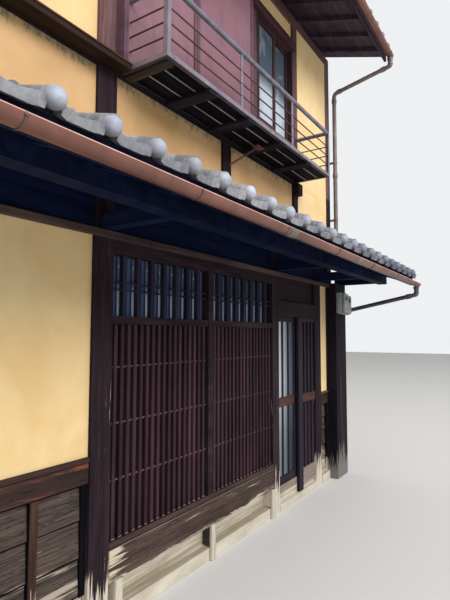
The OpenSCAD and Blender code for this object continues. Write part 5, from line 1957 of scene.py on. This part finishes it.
@dataclass
class MeterBoxes(Part):
    """The two meter cases on the pilaster: rounded cases with a lid and a window."""

    gap: float = 0.008
    drop: float = 0.008

    def build(self) -> None:
        """Builds both cases from the CAD's boxes; the right one is smaller and hangs lower."""
        low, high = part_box("meter_boxes")
        middle = (low.x + high.x) / 2
        case, seal = Mesher(), Mesher()
        for a, b, drop in ((low.x, middle - self.gap, 0.0), (middle + self.gap, high.x, self.drop)):
            y = low.y + drop * 1.8
            foot, top = low.z + self.drop - drop, high.z - drop * 1.7
            case.block((a, y + 0.025, foot), (b, high.y, top), 0.010, 2)
            case.block((a + 0.006, y, foot + 0.010), (b - 0.006, y + 0.030, top - 0.012), 0.008, 2)
            seal.block((a + 0.002, y + 0.022, foot + 0.004), (b - 0.002, y + 0.028, top - 0.006), 0.001)
            seal.block((a + 0.030, y - 0.0008, top - 0.085), (b - 0.030, y + 0.004, top - 0.040), 0.001)
        case.piece("meter_cases", self.palette.meter, "meter_plastic", ("meter_boxes",), True)
        seal.piece("meter_seals", self.palette.black, "meter_plastic", ("meter_boxes",))


class Facade:
    """Dresses the carried-over CAD nodes with their real finishes."""

    def __init__(self, palette: Palette) -> None:
        """Lists the nodes of each finish.

        Args:
            palette: The house's finishes.
        """
        self.nodes = (
            (palette.stone, ("curb", "door_step")),
            (palette.bleached_level, ("threshold",)),
            (palette.earth, ("ground_floor",)),
            (palette.party, ("party_wall_left", "party_wall_right")),
            (palette.post, ("front_posts", "rear_posts")),
            (palette.beam, ("beams", "upper_floor")),
            (palette.yellow, ("plaster_lower", "plaster_upper")),
            (palette.yellow_skin, ("plaster_rear",)),
            (palette.wainscot, ("wainscot_front", "wainscot_rear")),
            (palette.batten, ("head_batten",)),
            (palette.frame, ("lattice_frame", "door_header")),
            (palette.bar, ("lattice_left", "lattice_right", "lattice_upper")),
            (palette.lattice, ("side_lattice", "door_leaf")),
            (palette.sill, ("sill_board",)),
            (palette.pilaster, ("pilaster",)),
            (palette.ledge, ("ledge",)),
            (palette.deck, ("balcony_deck",)),
            (palette.sash, ("upper_window", "rear_windows")),
            (palette.eaves, ("lower_roof_frame",)),
            (palette.upper_eaves, ("upper_roof_frame",)),
            (palette.tile, ("lower_tiles", "upper_tiles", "ridge")),
            (palette.gutter, ("lower_gutter", "upper_gutter")),
            (palette.pipe, ("downpipes",)),
            (palette.steel, ("balcony_frame", "balcony_rail", "balcony_returns")),
            (palette.shutter, ("shutter_box",)),
            (palette.meter, ("meter_boxes",)),
            (palette.dark_glass, ("lattice_glass",)),
            (palette.frosted, ("door_glass",)),
            (palette.upper_glass, ("upper_glass",)),
            (palette.rear_glass, ("rear_glass",)),
        )

    def dress(self) -> None:
        """Puts each finish on its nodes."""
        for material, names in self.nodes:
            for name in names:
                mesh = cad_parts[name].data
                mesh.materials.clear()
                mesh.materials.append(material)
                log.info("%s wears %s", name, material.name)


@dataclass
class Stage:
    """A plain pale floor under the house."""

    size: float = 80.0
    colour: str = "#d9d7d2"
    drop: float = 0.002

    def build(self) -> None:
        """Lays the floor just under the house's feet."""
        bm = bmesh.new()
        bmesh.ops.create_grid(bm, x_segments=1, y_segments=1, size=self.size / 2)
        mesh = bpy.data.meshes.new("floor")
        bm.to_mesh(mesh)
        bm.free()
        material = bpy.data.materials.new("pale_floor")
        material.use_nodes = True
        shader = material.node_tree.nodes["Principled BSDF"]
        shader.inputs["Base Color"].default_value = linear(self.colour)
        shader.inputs["Roughness"].default_value = 0.9
        mesh.materials.append(material)
        floor = bpy.data.objects.new("floor", mesh)
        floor.location.z = -self.drop
        bpy.context.scene.collection.objects.link(floor)


@dataclass
class Studio:
    """Camera at the photograph's viewpoint and soft plain light."""

    post_x: float = -0.6335
    back: float = 1.9125
    aside: float = 1.7625
    eye: float = 1.5
    yaw: float = 33.144
    pitch: float = 4.142
    roll: float = -0.110
    lens: float = 28.84
    # Strength of the sky as the camera sees it
    backdrop: float = 0.95

    def camera(self) -> None:
        """Sets the camera where the photograph was taken."""
        data = bpy.data.cameras.new("street_view")
        data.lens = self.lens
        data.sensor_width = 36.0
        data.clip_start = 0.05
        camera = bpy.data.objects.new("street_view", data)
        yaw, pitch = math.radians(self.yaw), math.radians(self.pitch)
        look = Vector((math.cos(pitch) * math.cos(yaw), math.cos(pitch) * math.sin(yaw), math.sin(pitch)))
        turn = look.to_track_quat("-Z", "Y").to_matrix().to_4x4()
        camera.matrix_world = (
            Matrix.Translation((self.post_x - self.aside, FACE - self.back, self.eye))
            @ turn @ Matrix.Rotation(math.radians(-self.roll), 4, "Z"))
        bpy.context.scene.collection.objects.link(camera)
        bpy.context.scene.camera = camera

    def lamp(
        self, name: str, place: Triple, aim: Triple, size: Span, power: float, colour: str,
    ) -> None:
        """Adds a large soft lamp.

        Args:
            name: Name of the lamp.
            place: Where it hangs.
            aim: What it points at.
            size: Width and height of its face.
            power: Watts.
            colour: sRGB hex colour.
        """
        data = bpy.data.lights.new(name, "AREA")
        data.shape = "RECTANGLE"
        data.size, data.size_y = size
        data.energy = power
        data.color = linear(colour)[:3]
        light = bpy.data.objects.new(name, data)
        turn = (Vector(aim) - Vector(place)).to_track_quat("-Z", "Y").to_matrix().to_4x4()
        light.matrix_world = Matrix.Translation(place) @ turn
        light.visible_camera = False
        bpy.context.scene.collection.objects.link(light)

    def sky(self, ambient: float, colour: str) -> None:
        """Sets an even sky that shows as plain pale behind the house.

        Args:
            ambient: Strength of the light on the house.
            colour: sRGB hex colour of the sky.
        """
        world = bpy.data.worlds.new("soft_sky")
        world.use_nodes = True
        bpy.context.scene.world = world
        tree = world.node_tree
        shader = tree.nodes["Background"]
        shader.inputs["Color"].default_value = linear(colour)
        seen = add_node(tree, "LightPath")
        level = add_node(tree, "MapRange", {}, {
            "To Min": ambient, "To Max": self.backdrop, "Value": seen.outputs["Is Camera Ray"]})
        tree.links.new(level.outputs["Result"], shader.inputs["Strength"])

    def build(self) -> None:
        """Sets camera, lamps, sky and the plain view transform."""
        self.camera()
        self.sky(0.62, "#f4f6f8")
        self.lamp("street_sky", (-1.0, -8.5, 9.0), (0.5, -3.9, 2.0), (9.0, 5.0), 170.0, "#f8f9ff")
        self.lamp("street_side", (-4.0, -21.0, 13.0), (0.3, -3.9, 1.4), (20.0, 10.0), 4250.0, "#faf9ff")
        self.lamp("rear_sky", (0.0, 10.0, 9.0), (0.0, 3.9, 2.0), (9.0, 5.0), 420.0, "#ffffff")
        bpy.context.scene.view_settings.view_transform = "Standard"


def main() -> None:
    """Builds the scene."""
    Studio().build()
    palette = Palette()
    Facade(palette).dress()
    Roofs(palette).build()
    Gutter(palette, "pent_roof_gutter", "lower_gutter", (-0.155, 0.93, 1.92)).build()
    for facing, name in ((1, "main_gutter_front"), (-1, "main_gutter_rear")):
        Gutter(palette, name, "upper_gutter", (-0.9, 0.9), facing).build()
    for part in (Downpipes, Ledge, Balcony, ShutterBox, UpperWindow, HeadBatten, WallSkins, Wainscot,
                 SillBoard, Lattice, EntranceLeaf, SidePanel, MeterBoxes):
        part(palette).build()
    Stage().build()


if __name__ == "__main__":
    main()
